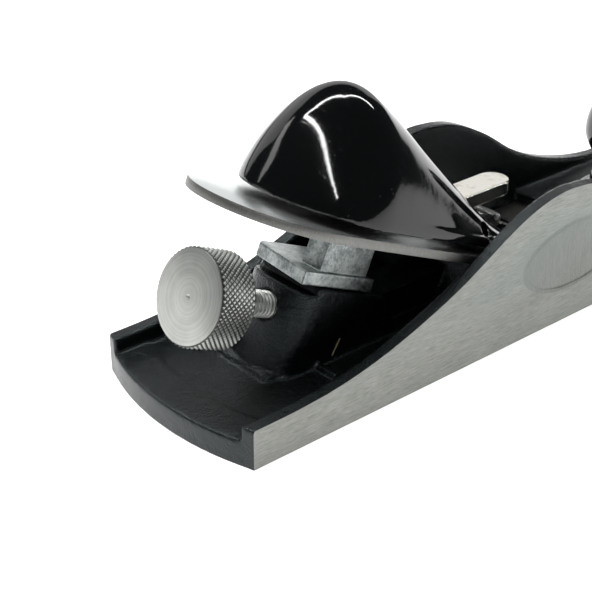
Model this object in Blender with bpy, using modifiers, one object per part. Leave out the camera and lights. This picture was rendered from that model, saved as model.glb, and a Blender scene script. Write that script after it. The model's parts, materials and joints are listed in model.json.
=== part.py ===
"""Block plane with a sliding throat plate, a screw depth feed and a hooded lever cap.

Metres, +Z up, +X towards the toe. The sole lies at Z = 0 and the origin is the middle of the
sole. Lengths along the sloping bed are measured up from the point where the bed plane meets the
sole, and heights over the bed are measured square to it.
"""

import math

import bmesh
import bpy
from mathutils import Matrix, Vector

# Body casting
BODY_LENGTH = 0.178
BODY_WIDTH = 0.050
END_RADIUS = 0.070
CHEEK_WALL = 0.0033
FLOOR_HEIGHT = 0.0058
HEEL_BAND = 0.0085
HEEL_BAND_STEP = 0.0005
RECESS_FRONT_X = -0.0030
DECK_HEIGHT = 0.0070
DECK_REAR_X = 0.0443
CHEEK_PROFILE = (
    (-0.0890, 0.0092),
    (-0.0740, 0.0094),
    (-0.0600, 0.0107),
    (-0.0455, 0.0141),
    (-0.0275, 0.0208),
    (-0.0095, 0.0301),
    (0.0000, 0.0333),
    (0.0083, 0.0341),
    (0.0190, 0.0324),
    (0.0310, 0.0268),
    (0.0430, 0.0190),
    (0.0560, 0.0133),
    (0.0720, 0.0093),
    (0.0890, 0.0080),
)
DIMPLE_X = 0.0113
DIMPLE_Z = 0.0170
DIMPLE_LENGTH = 0.036
DIMPLE_HEIGHT = 0.0174
DIMPLE_DEPTH = 0.0008
DIMPLE_BULGE = 0.0060

# Bed and iron
BED_ANGLE = math.radians(24.0)
BED_FOOT_X = 0.03065
BED_TOP = 0.042
BED_FRONT_X = 0.0281
IRON_LENGTH = 0.1152
IRON_WIDTH = 0.041
IRON_THICKNESS = 0.0020
IRON_SETBACK = 0.0010
IRON_BEVEL = math.radians(25.0)
IRON_EDGE = 0.00015
BED_PROUD = 0.0008
BED_BACK_DROP = 0.0060
BED_BACK_HEIGHT = 0.0022
BED_TIP = 0.0010
BED_UNDERSIDE = 0.0005
IRON_SLOT_WIDTH = 0.0114
IRON_SLOT_START = 0.0220
IRON_SLOT_END = 0.0400
GROOVE_FIRST = 0.0700
GROOVE_PITCH = 0.0024
GROOVE_COUNT = 11
GROOVE_WIDTH = 0.0014
GROOVE_DEPTH = 0.0008
GROOVE_LENGTH = 0.0220

# Depth feed
SPINDLE_DROP = 0.0202
SPINDLE_RADIUS = 0.0030
SPINDLE_END = 0.0745
WHEEL_REAR = 0.1131
WHEEL_THICKNESS = 0.0094
WHEEL_RADIUS = 0.0105
WHEEL_CHAMFER = 0.0006
NECK_RADIUS = 0.0018
NECK_CENTRE = 0.0788
NECK_LENGTH = 0.0028
SLIDE_DROP = 0.0090
SLIDE_THICKNESS = 0.0030
SLIDE_WIDTH = 0.0207
SLIDE_REAR_NEAR = 0.0934
SLIDE_REAR_FAR = 0.0891
SLIDE_FRONT = 0.0719
BLOCK_REAR = 0.0884
BLOCK_LENGTH = 0.0145
BLOCK_RIGHT_Y = -0.0094
BLOCK_LEFT_Y = -0.0036
TONGUE_THICKNESS = 0.0020
TONGUE_WIDTH = 0.0060
TONGUE_REACH = 0.0035
TOOTH_INSET = 0.0002
SLIDE_CORNER = (0.0006, 0.0015, 0.0012)
FEED_BACK = 0.0020
FEED_FORWARD = 0.0015

# Boss that carries the feed
BOSS_WIDTH = 0.0200
BOSS_REAR_TOP = 0.0868
BOSS_FRONT_TOP = 0.0660
BOSS_BULGE = 0.0048
BOSS_BULGE_DROP = 0.0020
BOSS_BULGE_ROOT = 0.0040
BOSS_BULGE_INSET = 0.0002
BOSS_EDGE = 0.0009
BOSS_FRONT_FOOT_X = -0.0300
PLINTH_REAR_X = -0.0676
PLINTH_WIDTH = 0.0165
PLINTH_HEIGHT = 0.0066
PLINTH_LENGTH = 0.0100
SPINE_WIDTH = 0.0100
SPINE_HEIGHT = 0.0130
RIB_X = -0.0550
RIB_WIDTH = 0.0014
RIB_HEIGHT = 0.0067
RIB_INSET = 0.0050
SPINE_OVERLAP = 0.0060

# Lever cap and its fastenings
CAP_SCREW_AT = 0.0310
CAP_SCREW_RADIUS = 0.0025
CAP_SCREW_HEAD_RADIUS = 0.0052
CAP_SCREW_HEAD = 0.0026
CAP_SCREW_DEPTH = 0.0095
CAP_SCREW_EDGE = 0.0005
CAP_SCREW_SLOT_HALF = 0.0005
CAP_SCREW_SLOT_DEPTH = 0.0011
CAP_WIDTH = 0.0400
CAP_NOSE = 0.0085
CAP_LIFT = 0.0018
CAP_PLATE_THICKNESS = 0.0025
CAP_PLATE_REAR = 0.0740
CAP_NOSE_LENGTH = 0.0035
NOSE_INSET = 0.0006
PLATE_INSET = 0.0004
CAP_NOSE_DROP = 0.0005
CAP_NOSE_BACK = 0.0015
CAP_NOSE_LAND = 0.0008
CAP_TRIM_HEIGHT = 0.0030
CAP_REMOVAL = 0.0090
HOOD_REAR = 0.1030
HOOD_WALL = 0.0025
HOOD_RIDGE = (
    (0.0000, 0.0000),
    (0.0012, 0.0042),
    (0.0034, 0.0110),
    (0.0071, 0.0189),
    (0.0118, 0.0246),
    (0.0172, 0.0260),
    (0.0245, 0.0236),
    (0.0370, 0.0178),
    (0.0500, 0.0116),
    (0.0600, 0.0068),
    (0.0700, 0.0034),
)
HOOD_TAPER_START = 0.022
HOOD_TAPER = 0.0020
HOOD_SECTION_POWER = 1.93
HOOD_CROWN_POWER = 1.60
HOLLOW_DROP = 0.0020
HOLLOW_START = 1.15
HOOD_LEAST = 0.0008
CAM_PIN_SHARE = 0.70
CAM_PIVOT = 0.0486
CAM_HEIGHT = 0.0050
CAM_RADIUS = 0.0039
CAM_THROW = 0.0008
CAM_PIN_RADIUS = 0.0015
LEVER_REACH = 0.0242
LEVER_WIDTH = 0.0080
LEVER_THICKNESS = 0.0033
LEVER_SLOT = 0.0104
LEVER_SLOT_SPARE = 0.0030
LEVER_SLOT_FLOOR = 0.0010
LEVER_SLOT_FRONT = 0.0120
LEVER_EDGE = 0.0007

# Throat
PLATE_THICKNESS = 0.0040
PLATE_REAR_X = 0.0335
THROAT_TRAVEL = 0.0012
POCKET_FRONT_X = 0.0798
POCKET_INSET = 0.0002
STUD_X = 0.0633
STUD_RADIUS = 0.0030
STUD_TOP = 0.0300
STUD_FOOT = 0.0015
STUD_SKIN = 0.0012
LUG_DROP = 0.0001
RELIEF_RUN = 0.0015
RELIEF_RISE = 0.0038
LUG_RADIUS = 0.0055
ECCENTRIC_RADIUS = 0.0125
ECCENTRIC_THICKNESS = 0.0020
ECCENTRIC_SWING = math.radians(25.0)
ECCENTRIC_PIN_DISTANCE = 0.0095
ECCENTRIC_PIN_RADIUS = 0.0012
ECCENTRIC_ARM = 0.0215
ECCENTRIC_ARM_ANGLE = math.radians(18.0)
ECCENTRIC_TIP_RADIUS = 0.0035
ECCENTRIC_SLOT_SPARE = 0.0004
WASHER_RADIUS = 0.0080
WASHER_THICKNESS = 0.0010
KNOB_BASE_RADIUS = 0.0095
KNOB_WAIST_RADIUS = 0.0078
KNOB_RADIUS = 0.0120
KNOB_TOP = 0.0400
KNOB_WIDEST_Z = 0.0260
KNOB_WAIST_Z = 0.0150
KNOB_FOOT = 0.0018

# Fits
GAP = 0.0003
SLIDE_CLEARANCE = 0.0002
BORE_DEPTH_SPARE = 0.0004
PLATE_SPARE = 0.0004
WHEEL_SOCKET = 0.0012

# Cutters run past what they cut by this much
OVERRUN = 0.001
THROUGH = 0.030
CUTTER_TOP = 0.012
OVERLAP = 0.0004
SEAT_OVERRUN = 0.004

ROUND_STEPS = 32
FINE_STEPS = 48
PIN_STEPS = 20
BORE_STEPS = 24


def material(name, colour, roughness, metallic):
    """A plain Principled finish."""
    finish = bpy.data.materials.new(name)
    finish.use_nodes = True
    shader = finish.node_tree.nodes["Principled BSDF"]
    shader.inputs["Base Color"].default_value = (*colour, 1.0)
    shader.inputs["Roughness"].default_value = roughness
    shader.inputs["Metallic"].default_value = metallic
    finish.diffuse_color = (*colour, 1.0)
    return finish


def clear_scene():
    for old in list(bpy.data.objects):
        bpy.data.objects.remove(old, do_unlink=True)


def collection(name):
    made = bpy.data.collections.new(name)
    bpy.context.scene.collection.children.link(made)
    return made


clear_scene()
PARTS = collection("block_plane")
CUTTERS = collection("cutters")


def on_bed(up, height, side=0.0):
    """The world point at a length up the bed, a height over it and a side offset in Y."""
    slope = Vector((-math.cos(BED_ANGLE), 0.0, math.sin(BED_ANGLE)))
    square = Vector((math.sin(BED_ANGLE), 0.0, math.cos(BED_ANGLE)))
    return Vector((BED_FOOT_X, side, 0.0)) + slope * up + square * height


def bed_frame(up, height, side=0.0):
    """Local +X up the bed towards the heel, local +Z square to it."""
    turned = Matrix.Rotation(BED_ANGLE, 4, "Y") @ Matrix.Rotation(math.pi, 4, "Z")
    return Matrix.Translation(on_bed(up, height, side)) @ turned


def spline_through(points, steps):
    """Points along a smooth curve through the given ones, Catmull-Rom on uneven knots."""
    slopes = []
    for index in range(len(points)):
        before = points[max(index - 1, 0)]
        after = points[min(index + 1, len(points) - 1)]
        slopes.append((after[1] - before[1]) / (after[0] - before[0]))
    path = []
    for index in range(len(points) - 1):
        (x0, y0), (x1, y1) = points[index], points[index + 1]
        span = x1 - x0
        for step in range(steps):
            t = step / steps
            rise = (2 * t**3 - 3 * t**2 + 1) * y0 + (3 * t**2 - 2 * t**3) * y1
            lean = (t**3 - 2 * t**2 + t) * slopes[index] + (t**3 - t**2) * slopes[index + 1]
            path.append((x0 + span * t, rise + lean * span))
    path.append(points[-1])
    return path


def arc(centre, radius, start, end, steps):
    """Points along a circle's arc, in degrees."""
    path = []
    for step in range(steps + 1):
        angle = math.radians(start + (end - start) * step / steps)
        path.append((centre[0] + radius * math.cos(angle), centre[1] + radius * math.sin(angle)))
    return path


def add_object(name, mesh, place, finish, is_cutter):
    obj = bpy.data.objects.new(name, mesh)
    obj.matrix_world = place
    (CUTTERS if is_cutter else PARTS).objects.link(obj)
    if is_cutter:
        obj.hide_render = True
        obj.display_type = "WIRE"
    if finish:
        mesh.materials.append(finish)
    return obj


def outline_mesh(outline, low, high):
    """A closed slab: an outline in local X and Y, filled, between two local Z heights."""
    curve = bpy.data.curves.new("outline", "CURVE")
    curve.dimensions = "2D"
    curve.fill_mode = "BOTH"
    curve.extrude = (high - low) / 2
    spline = curve.splines.new("POLY")
    spline.points.add(len(outline) - 1)
    for point, (x, y) in zip(spline.points, outline):
        point.co = (x, y, 0.0, 1.0)
    spline.use_cyclic_u = True
    drawn = bpy.data.objects.new("outline", curve)
    bpy.context.scene.collection.objects.link(drawn)
    graph = bpy.context.evaluated_depsgraph_get()
    mesh = bpy.data.meshes.new_from_object(drawn.evaluated_get(graph))
    bpy.data.objects.remove(drawn, do_unlink=True)
    shape = bmesh.new()
    shape.from_mesh(mesh)
    bmesh.ops.remove_doubles(shape, verts=shape.verts, dist=1e-7)
    bmesh.ops.translate(shape, verts=shape.verts, vec=(0.0, 0.0, (high + low) / 2))
    bmesh.ops.recalc_face_normals(shape, faces=shape.faces)
    shape.to_mesh(mesh)
    shape.free()
    return mesh


def slab(name, outline, low, high, place=Matrix(), finish=None, is_cutter=False):
    return add_object(name, outline_mesh(outline, low, high), place, finish, is_cutter)


def side_slab(name, outline, right, left, finish=None, is_cutter=False):
    """A slab whose outline is drawn in world X and Z, between two Y values."""
    stand = Matrix.Rotation(math.pi / 2, 4, "X")
    return slab(name, outline, -left, -right, stand, finish, is_cutter)


def box(name, low, high, place=Matrix(), finish=None, is_cutter=False):
    mesh = bpy.data.meshes.new(name)
    shape = bmesh.new()
    bmesh.ops.create_cube(shape, size=1.0)
    size = [top - bottom for bottom, top in zip(low, high)]
    middle = [(top + bottom) / 2 for bottom, top in zip(low, high)]
    bmesh.ops.scale(shape, verts=shape.verts, vec=size)
    bmesh.ops.translate(shape, verts=shape.verts, vec=middle)
    shape.to_mesh(mesh)
    shape.free()
    return add_object(name, mesh, place, finish, is_cutter)


def rod(name, radius, low, high, place=Matrix(), finish=None, is_cutter=False, steps=ROUND_STEPS):
    """A cylinder along local Z."""
    mesh = bpy.data.meshes.new(name)
    shape = bmesh.new()
    middle = Matrix.Translation((0.0, 0.0, (low + high) / 2))
    bmesh.ops.create_cone(
        shape,
        cap_ends=True,
        segments=steps,
        radius1=radius,
        radius2=radius,
        depth=high - low,
        matrix=middle,
    )
    shape.to_mesh(mesh)
    shape.free()
    return add_object(name, mesh, place, finish, is_cutter)


def turned(name, profile, place, finish, steps=ROUND_STEPS):
    """A solid of revolution about local Z. The profile runs from its top to its bottom."""
    mesh = bpy.data.meshes.new(name)
    edges = [(index, index + 1) for index in range(len(profile) - 1)]
    mesh.from_pydata([(radius, 0.0, height) for radius, height in profile], edges, [])
    obj = add_object(name, mesh, place, finish, False)
    screw = obj.modifiers.new("turn", "SCREW")
    screw.axis = "Z"
    screw.steps = steps
    screw.render_steps = steps
    screw.use_merge_vertices = True
    screw.merge_threshold = 0.00001
    return obj


def bevel(obj, width, segments=2):
    edge = obj.modifiers.new("bevel", "BEVEL")
    edge.width = width
    edge.segments = segments
    edge.limit_method = "ANGLE"
    edge.angle_limit = math.radians(35.0)


def combine(obj, other, operation):
    step = obj.modifiers.new(operation.lower() + "_" + other.name, "BOOLEAN")
    step.operation = operation
    step.solver = "EXACT"
    step.object = other


def add_to(obj, *others):
    for other in others:
        combine(obj, other, "UNION")


def cut_from(obj, *others):
    for other in others:
        combine(obj, other, "DIFFERENCE")


def smooth(obj):
    obj.data.shade_smooth()
    obj.data.set_sharp_from_angle(angle=math.radians(35.0))


SQUARE_TO_BED = bed_frame(0.0, 0.0)
INNER_HALF = BODY_WIDTH / 2 - CHEEK_WALL
FAR = 0.2
SPINDLE_HEIGHT = -SPINDLE_DROP
SLIDE_TOP = -SLIDE_DROP
SLIDE_BOTTOM = SLIDE_TOP - SLIDE_THICKNESS
BOSS_TOP = SLIDE_BOTTOM - GAP
BURIED_Z = FLOOR_HEIGHT / 2
BED_SEAT = -GAP
IRON_TOP = IRON_THICKNESS


def end_arc(centre_x, facing):
    """The curved end of the casting, in plan."""
    half = math.degrees(math.asin(BODY_WIDTH / 2 / END_RADIUS))
    return arc((centre_x, 0.0), END_RADIUS, facing - half, facing + half, 24)


def body_plan():
    middle = BODY_LENGTH / 2 - END_RADIUS
    return end_arc(middle, 0.0) + end_arc(-middle, 180.0)


def cheek_outline():
    top = spline_through(CHEEK_PROFILE, 5)
    ends = BODY_LENGTH / 2 + OVERRUN
    top = [(-ends, top[0][1])] + top[1:-1] + [(ends, top[-1][1])]
    return [(-ends, 0.0), (ends, 0.0)] + top[::-1]


def cavity_outline():
    return [
        (-FAR, FLOOR_HEIGHT),
        (DECK_REAR_X, FLOOR_HEIGHT),
        (DECK_REAR_X, DECK_HEIGHT),
        (FAR, DECK_HEIGHT),
        (FAR, FAR),
        (-FAR, FAR),
    ]


def point_xz(up, height):
    point = on_bed(up, height)
    return (point.x, point.z)


def buried_height(up):
    """The height over the bed at which a face square to it, at that length up, is in the floor."""
    return (BURIED_Z - up * math.sin(BED_ANGLE)) / math.cos(BED_ANGLE)


def boss_outline():
    return [
        point_xz(BOSS_REAR_TOP, BOSS_TOP),
        point_xz(BOSS_REAR_TOP, buried_height(BOSS_REAR_TOP)),
        (BOSS_FRONT_FOOT_X, BURIED_Z),
        point_xz(BOSS_FRONT_TOP, BOSS_TOP),
    ]


def boss_bulge():
    """The half-round swelling of the boss's rear face, round the spindle."""
    half = BOSS_WIDTH / 2 - BOSS_BULGE_INSET
    root = BOSS_REAR_TOP - BOSS_BULGE_ROOT
    outline = [(root, half), (root, -half)]
    for x, y in arc((0.0, 0.0), 1.0, -90, 90, 20):
        outline.append((BOSS_REAR_TOP + BOSS_BULGE * x, half * y))
    top = BOSS_TOP - BOSS_BULGE_DROP
    bottom = buried_height(BOSS_REAR_TOP)
    return slab("boss_bulge", outline, bottom, top, SQUARE_TO_BED, is_cutter=True)


def bed_outline():
    """The wedge under the iron's seat, left a little proud to be cut back to the seat."""
    top = point_xz(BED_TOP, BED_PROUD)
    tip = point_xz(BED_TIP, BED_PROUD)
    rear_x = top[0] - BED_BACK_DROP
    rear_top = (rear_x, FLOOR_HEIGHT + BED_BACK_HEIGHT)
    return [top, rear_top, (rear_x, BED_UNDERSIDE), (tip[0], BED_UNDERSIDE), tip]


def dimple(side):
    """A shallow ellipsoid that dishes the outer face of one cheek."""
    mesh = bpy.data.meshes.new("dimple")
    shape = bmesh.new()
    bmesh.ops.create_uvsphere(shape, u_segments=48, v_segments=32, radius=1.0)
    reach = math.sqrt(1.0 - ((DIMPLE_BULGE - DIMPLE_DEPTH) / DIMPLE_BULGE) ** 2)
    size = (DIMPLE_LENGTH / 2 / reach, DIMPLE_HEIGHT / 2 / reach, DIMPLE_BULGE)
    bmesh.ops.scale(shape, verts=shape.verts, vec=size)
    bmesh.ops.rotate(
        shape, verts=shape.verts, cent=(0, 0, 0), matrix=Matrix.Rotation(math.pi / 2, 3, "X")
    )
    shape.to_mesh(mesh)
    shape.free()
    middle_y = side * (BODY_WIDTH / 2 + DIMPLE_BULGE - DIMPLE_DEPTH)
    place = Matrix.Translation((DIMPLE_X, middle_y, DIMPLE_Z))
    return add_object("dimple_cut", mesh, place, None, True)


def body_blocks():
    """What stands on the floor: the boss and its swelling, a plinth, a spine, a rib and the bed."""
    boss = side_slab("boss", boss_outline(), -BOSS_WIDTH / 2, BOSS_WIDTH / 2, None, True)
    bevel(boss, BOSS_EDGE)
    plinth = box(
        "plinth",
        (PLINTH_REAR_X, -PLINTH_WIDTH / 2, BURIED_Z),
        (PLINTH_REAR_X + PLINTH_LENGTH, PLINTH_WIDTH / 2, PLINTH_HEIGHT),
        is_cutter=True,
    )
    bevel(plinth, BOSS_EDGE)
    spine = box(
        "spine",
        (BOSS_FRONT_FOOT_X - SPINE_OVERLAP, -SPINE_WIDTH / 2, BURIED_Z),
        (point_xz(BED_TOP, 0.0)[0], SPINE_WIDTH / 2, SPINE_HEIGHT),
        is_cutter=True,
    )
    rib = box(
        "rib",
        (RIB_X - RIB_WIDTH / 2, -INNER_HALF + RIB_INSET, BURIED_Z),
        (RIB_X + RIB_WIDTH / 2, -BOSS_WIDTH / 2 + RIB_INSET, RIB_HEIGHT),
        is_cutter=True,
    )
    inside = INNER_HALF + OVERLAP
    bed = side_slab("bed", bed_outline(), -inside, inside, None, True)
    return boss, boss_bulge(), plinth, spine, rib, bed


def make_body(finish):
    body = side_slab("body_casting", cheek_outline(), -BODY_WIDTH, BODY_WIDTH, finish)
    combine(body, slab("plan", body_plan(), -OVERRUN, THROUGH * 2, is_cutter=True), "INTERSECT")
    cut_from(body, side_slab("cavity", cavity_outline(), -INNER_HALF, INNER_HALF, None, True))
    cut_from(body, heel_recess(), dimple(-1), dimple(1))
    add_to(body, *body_blocks())
    cut_from(body, *throat_cutters(), *feed_cutters(), cap_screw_bore())
    smooth(body)
    return body


def heel_recess():
    """The floor steps down a little inside the heel's thicker band."""
    middle = -(BODY_LENGTH / 2 - END_RADIUS)
    half = math.degrees(math.asin(INNER_HALF / (END_RADIUS - HEEL_BAND)))
    edge = arc((middle, 0.0), END_RADIUS - HEEL_BAND, 180.0 - half, 180.0 + half, 24)
    side = INNER_HALF - POCKET_INSET
    outline = [(x, max(-side, min(side, y))) for x, y in edge]
    outline += [(RECESS_FRONT_X, -side), (RECESS_FRONT_X, side)]
    depth = FLOOR_HEIGHT - HEEL_BAND_STEP
    return slab("heel_recess", outline, depth, FLOOR_HEIGHT + OVERRUN, is_cutter=True)


def throat_cutters():
    """The pocket of the throat plate, the mouth, the iron's seat, and the lug's and pin's holes."""
    half = INNER_HALF - POCKET_INSET
    top = PLATE_THICKNESS + GAP
    pocket = box(
        "pocket", (BED_FRONT_X, -half, -OVERRUN), (POCKET_FRONT_X, half, top), is_cutter=True
    )
    mouth = box(
        "mouth", (BED_FRONT_X, -half, -OVERRUN), (DECK_REAR_X, half, CUTTER_TOP), is_cutter=True
    )
    low, high = -SEAT_OVERRUN, BED_TOP + SEAT_OVERRUN
    seat = [(low, BED_SEAT), (high, BED_SEAT), (high, CUTTER_TOP), (low, CUTTER_TOP)]
    side = INNER_HALF + OVERLAP / 4
    over_seat = side_slab(
        "over_seat", [point_xz(*corner) for corner in seat], -side, side, None, True
    )
    reach = THROAT_TRAVEL + GAP
    radius = LUG_RADIUS + SLIDE_CLEARANCE
    outline = arc((STUD_X + reach, 0.0), radius, -90, 90, 16)
    outline += arc((STUD_X - reach, 0.0), radius, 90, 270, 16)
    lug_slot = slab("lug_slot", outline, BURIED_Z, CUTTER_TOP, is_cutter=True)
    pin_hole = rod(
        "pin_hole",
        ECCENTRIC_PIN_RADIUS + GAP,
        BURIED_Z,
        CUTTER_TOP,
        Matrix.Translation((STUD_X - ECCENTRIC_PIN_DISTANCE, 0.0, 0.0)),
        is_cutter=True,
        steps=16,
    )
    return pocket, mouth, over_seat, lug_slot, pin_hole


def feed_cutters():
    """The spindle's bore along the boss, and the slot that lets the slide's tongue reach it."""
    along = bed_frame(0.0, SPINDLE_HEIGHT) @ Matrix.Rotation(math.pi / 2, 4, "Y")
    bore = rod(
        "spindle_bore",
        SPINDLE_RADIUS + GAP,
        SPINDLE_END - FEED_FORWARD - BORE_DEPTH_SPARE,
        BOSS_REAR_TOP + THROUGH,
        along,
        is_cutter=True,
        steps=FINE_STEPS,
    )
    half = TONGUE_THICKNESS / 2 + GAP
    bottom = SPINDLE_HEIGHT - TONGUE_REACH - OVERRUN
    tongue_slot = box(
        "tongue_slot",
        (NECK_CENTRE - half - FEED_FORWARD, -TONGUE_WIDTH / 2 - GAP, bottom),
        (NECK_CENTRE + half + FEED_BACK, TONGUE_WIDTH / 2 + GAP, BOSS_TOP + 2 * OVERRUN),
        SQUARE_TO_BED,
        is_cutter=True,
    )
    return bore, tongue_slot


def cap_screw_bore():
    place = bed_frame(CAP_SCREW_AT, 0.0)
    radius = CAP_SCREW_RADIUS + GAP
    depth = CAP_SCREW_DEPTH + BORE_DEPTH_SPARE
    return rod("screw_bore", radius, -depth, SEAT_OVERRUN, place, is_cutter=True, steps=BORE_STEPS)


def make_throat_plate(finish):
    half = INNER_HALF - POCKET_INSET - SLIDE_CLEARANCE
    front_x = POCKET_FRONT_X - THROAT_TRAVEL - PLATE_SPARE
    plate = box(
        "throat_plate", (PLATE_REAR_X, -half, 0.0), (front_x, half, PLATE_THICKNESS), Matrix(), finish
    )
    at_stud = Matrix.Translation((STUD_X, 0.0, 0.0))
    lug_top = DECK_HEIGHT - LUG_DROP
    add_to(plate, rod("lug", LUG_RADIUS, PLATE_THICKNESS / 2, lug_top, at_stud, is_cutter=True))
    bore = rod(
        "stud_bore", STUD_RADIUS + GAP, STUD_SKIN, THROUGH, at_stud, is_cutter=True, steps=BORE_STEPS
    )
    behind = PLATE_REAR_X - OVERRUN
    slope = [
        (behind, STUD_SKIN),
        (PLATE_REAR_X + RELIEF_RUN, STUD_SKIN + RELIEF_RISE),
        (behind, STUD_SKIN + RELIEF_RISE),
    ]
    relief = side_slab("mouth_relief", slope, -BODY_WIDTH, BODY_WIDTH, None, True)
    cut_from(plate, bore, relief)
    smooth(plate)
    return plate


def make_eccentric(finish):
    """The flat throat lever: a round hub on the stud, a spiral slot round the fixed pin."""
    lean = ECCENTRIC_ARM_ANGLE
    tip = (ECCENTRIC_ARM * math.cos(lean), ECCENTRIC_ARM * math.sin(lean))
    outline = arc((0.0, 0.0), ECCENTRIC_RADIUS, 45, 350, 36)
    outline += arc(tip, ECCENTRIC_TIP_RADIUS, -60, 100, 10)
    place = Matrix.Translation((STUD_X, 0.0, DECK_HEIGHT + GAP))
    lever = slab("eccentric_lever", outline, 0.0, ECCENTRIC_THICKNESS, place, finish)
    through = ECCENTRIC_THICKNESS + OVERRUN
    radius = STUD_RADIUS + GAP
    hole = rod("lever_hole", radius, -OVERRUN, through, place, is_cutter=True, steps=BORE_STEPS)
    slot = slab("lever_slot", spiral_slot(), -OVERRUN, through, place, is_cutter=True)
    cut_from(lever, hole, slot)
    smooth(lever)
    return lever


def spiral_slot():
    """Where the fixed pin goes, seen from the lever, widened to a slot."""
    lead = THROAT_TRAVEL / ECCENTRIC_SWING
    half = ECCENTRIC_PIN_RADIUS + ECCENTRIC_SLOT_SPARE
    spare = half / ECCENTRIC_PIN_DISTANCE
    steps = 14
    outer, inner = [], []
    for step in range(steps + 1):
        swing = -ECCENTRIC_SWING - spare + 2 * (ECCENTRIC_SWING + spare) * step / steps
        reach = ECCENTRIC_PIN_DISTANCE + lead * swing
        turn = math.pi - swing
        outer.append(((reach + half) * math.cos(turn), (reach + half) * math.sin(turn)))
        inner.append(((reach - half) * math.cos(turn), (reach - half) * math.sin(turn)))
    return outer + inner[::-1]


def make_eccentric_pin(finish):
    place = Matrix.Translation((STUD_X - ECCENTRIC_PIN_DISTANCE, 0.0, 0.0))
    bottom = PLATE_THICKNESS + 2 * GAP
    top = DECK_HEIGHT + ECCENTRIC_THICKNESS
    pin = rod("eccentric_pin", ECCENTRIC_PIN_RADIUS, bottom, top, place, finish, steps=16)
    smooth(pin)
    return pin


def make_knob(finish):
    bottom = DECK_HEIGHT + ECCENTRIC_THICKNESS + WASHER_THICKNESS + 3 * GAP
    crown = KNOB_TOP - KNOB_WIDEST_Z
    profile = [(0.0, KNOB_TOP)]
    for x, y in arc((0.0, 0.0), 1.0, 80, 0, 10):
        profile.append((KNOB_RADIUS * x, KNOB_WIDEST_Z + crown * y))
    for step in range(1, 9):
        t = step / 8
        share = (1 + math.cos(math.pi * t)) / 2
        swell = KNOB_WAIST_RADIUS + (KNOB_RADIUS - KNOB_WAIST_RADIUS) * share
        profile.append((swell, KNOB_WIDEST_Z + (KNOB_WAIST_Z - KNOB_WIDEST_Z) * t))
    foot = KNOB_BASE_RADIUS
    profile += [(foot, bottom + KNOB_FOOT), (foot, bottom), (0.0, bottom)]
    place = Matrix.Translation((STUD_X, 0.0, 0.0))
    knob = turned("front_knob", profile, place, finish)
    depth = STUD_TOP + BORE_DEPTH_SPARE
    radius = STUD_RADIUS + GAP
    bore = rod("knob_bore", radius, 0.0, depth, place, is_cutter=True, steps=BORE_STEPS)
    cut_from(knob, bore)
    smooth(knob)
    return knob


def make_stud(finish):
    place = Matrix.Translation((STUD_X, 0.0, 0.0))
    stud = rod("knob_stud", STUD_RADIUS, STUD_FOOT, STUD_TOP, place, finish, steps=BORE_STEPS)
    smooth(stud)
    return stud


def make_washer(finish):
    bottom = DECK_HEIGHT + ECCENTRIC_THICKNESS + 2 * GAP
    place = Matrix.Translation((STUD_X, 0.0, bottom))
    washer = rod("knob_washer", WASHER_RADIUS, 0.0, WASHER_THICKNESS, place, finish)
    through = WASHER_THICKNESS + OVERRUN
    radius = STUD_RADIUS + GAP
    hole = rod("washer_hole", radius, -OVERRUN, through, place, is_cutter=True, steps=BORE_STEPS)
    cut_from(washer, hole)
    smooth(washer)
    return washer


def iron_cutters():
    """The honed bevel, the slot for the cap screw and the grooves for the slide's tooth."""
    rise = math.tan(IRON_BEVEL)
    front = IRON_SETBACK - OVERRUN / 2
    top = IRON_THICKNESS * 1.5 + IRON_EDGE
    wedge = [
        (front, IRON_EDGE - OVERRUN / 2 * rise),
        (IRON_SETBACK + IRON_THICKNESS * 1.5 / rise, top),
        (front, top),
    ]
    sideways = SQUARE_TO_BED @ Matrix.Rotation(math.pi / 2, 4, "X")
    bevel_cut = slab("iron_bevel", wedge, -IRON_WIDTH, IRON_WIDTH, sideways, is_cutter=True)
    half = IRON_SLOT_WIDTH / 2
    slot = arc((IRON_SLOT_END - half, 0.0), half, -90, 90, 12)
    slot += arc((IRON_SLOT_START + half, 0.0), half, 90, 270, 12)
    through = IRON_THICKNESS + OVERRUN
    cutters = [bevel_cut, slab("iron_slot", slot, -OVERRUN, through, SQUARE_TO_BED, is_cutter=True)]
    for index in range(GROOVE_COUNT):
        start = GROOVE_FIRST + index * GROOVE_PITCH
        low = (start, -GROOVE_LENGTH / 2, -OVERRUN)
        high = (start + GROOVE_WIDTH, GROOVE_LENGTH / 2, GROOVE_DEPTH)
        cutters.append(box("groove", low, high, SQUARE_TO_BED, is_cutter=True))
    return cutters


def make_iron(finish):
    """Flat face down, bevel up, with a half-round tail."""
    half = IRON_WIDTH / 2
    tail = IRON_SETBACK + IRON_LENGTH
    outline = [(IRON_SETBACK, -half)] + arc((tail - half, 0.0), half, -90, 90, 32)
    outline.append((IRON_SETBACK, half))
    iron = slab("iron", outline, 0.0, IRON_THICKNESS, SQUARE_TO_BED, finish)
    cut_from(iron, *iron_cutters())
    smooth(iron)
    return iron


def hang_on_pivot(obj, name, pivot):
    """Parents a piece to an empty that stands on its joint's axis."""
    empty = bpy.data.objects.new(name, None)
    empty.empty_display_size = 0.01
    empty.matrix_world = pivot
    PARTS.objects.link(empty)
    obj.parent = empty
    obj.matrix_parent_inverse = pivot.inverted()


def tooth_start():
    """The slide's tooth stands in the middle of the groove nearest the block's centre."""
    middle = BLOCK_REAR - BLOCK_LENGTH / 2
    index = round((middle - GROOVE_FIRST) / GROOVE_PITCH)
    return GROOVE_FIRST + index * GROOVE_PITCH + GAP


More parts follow.
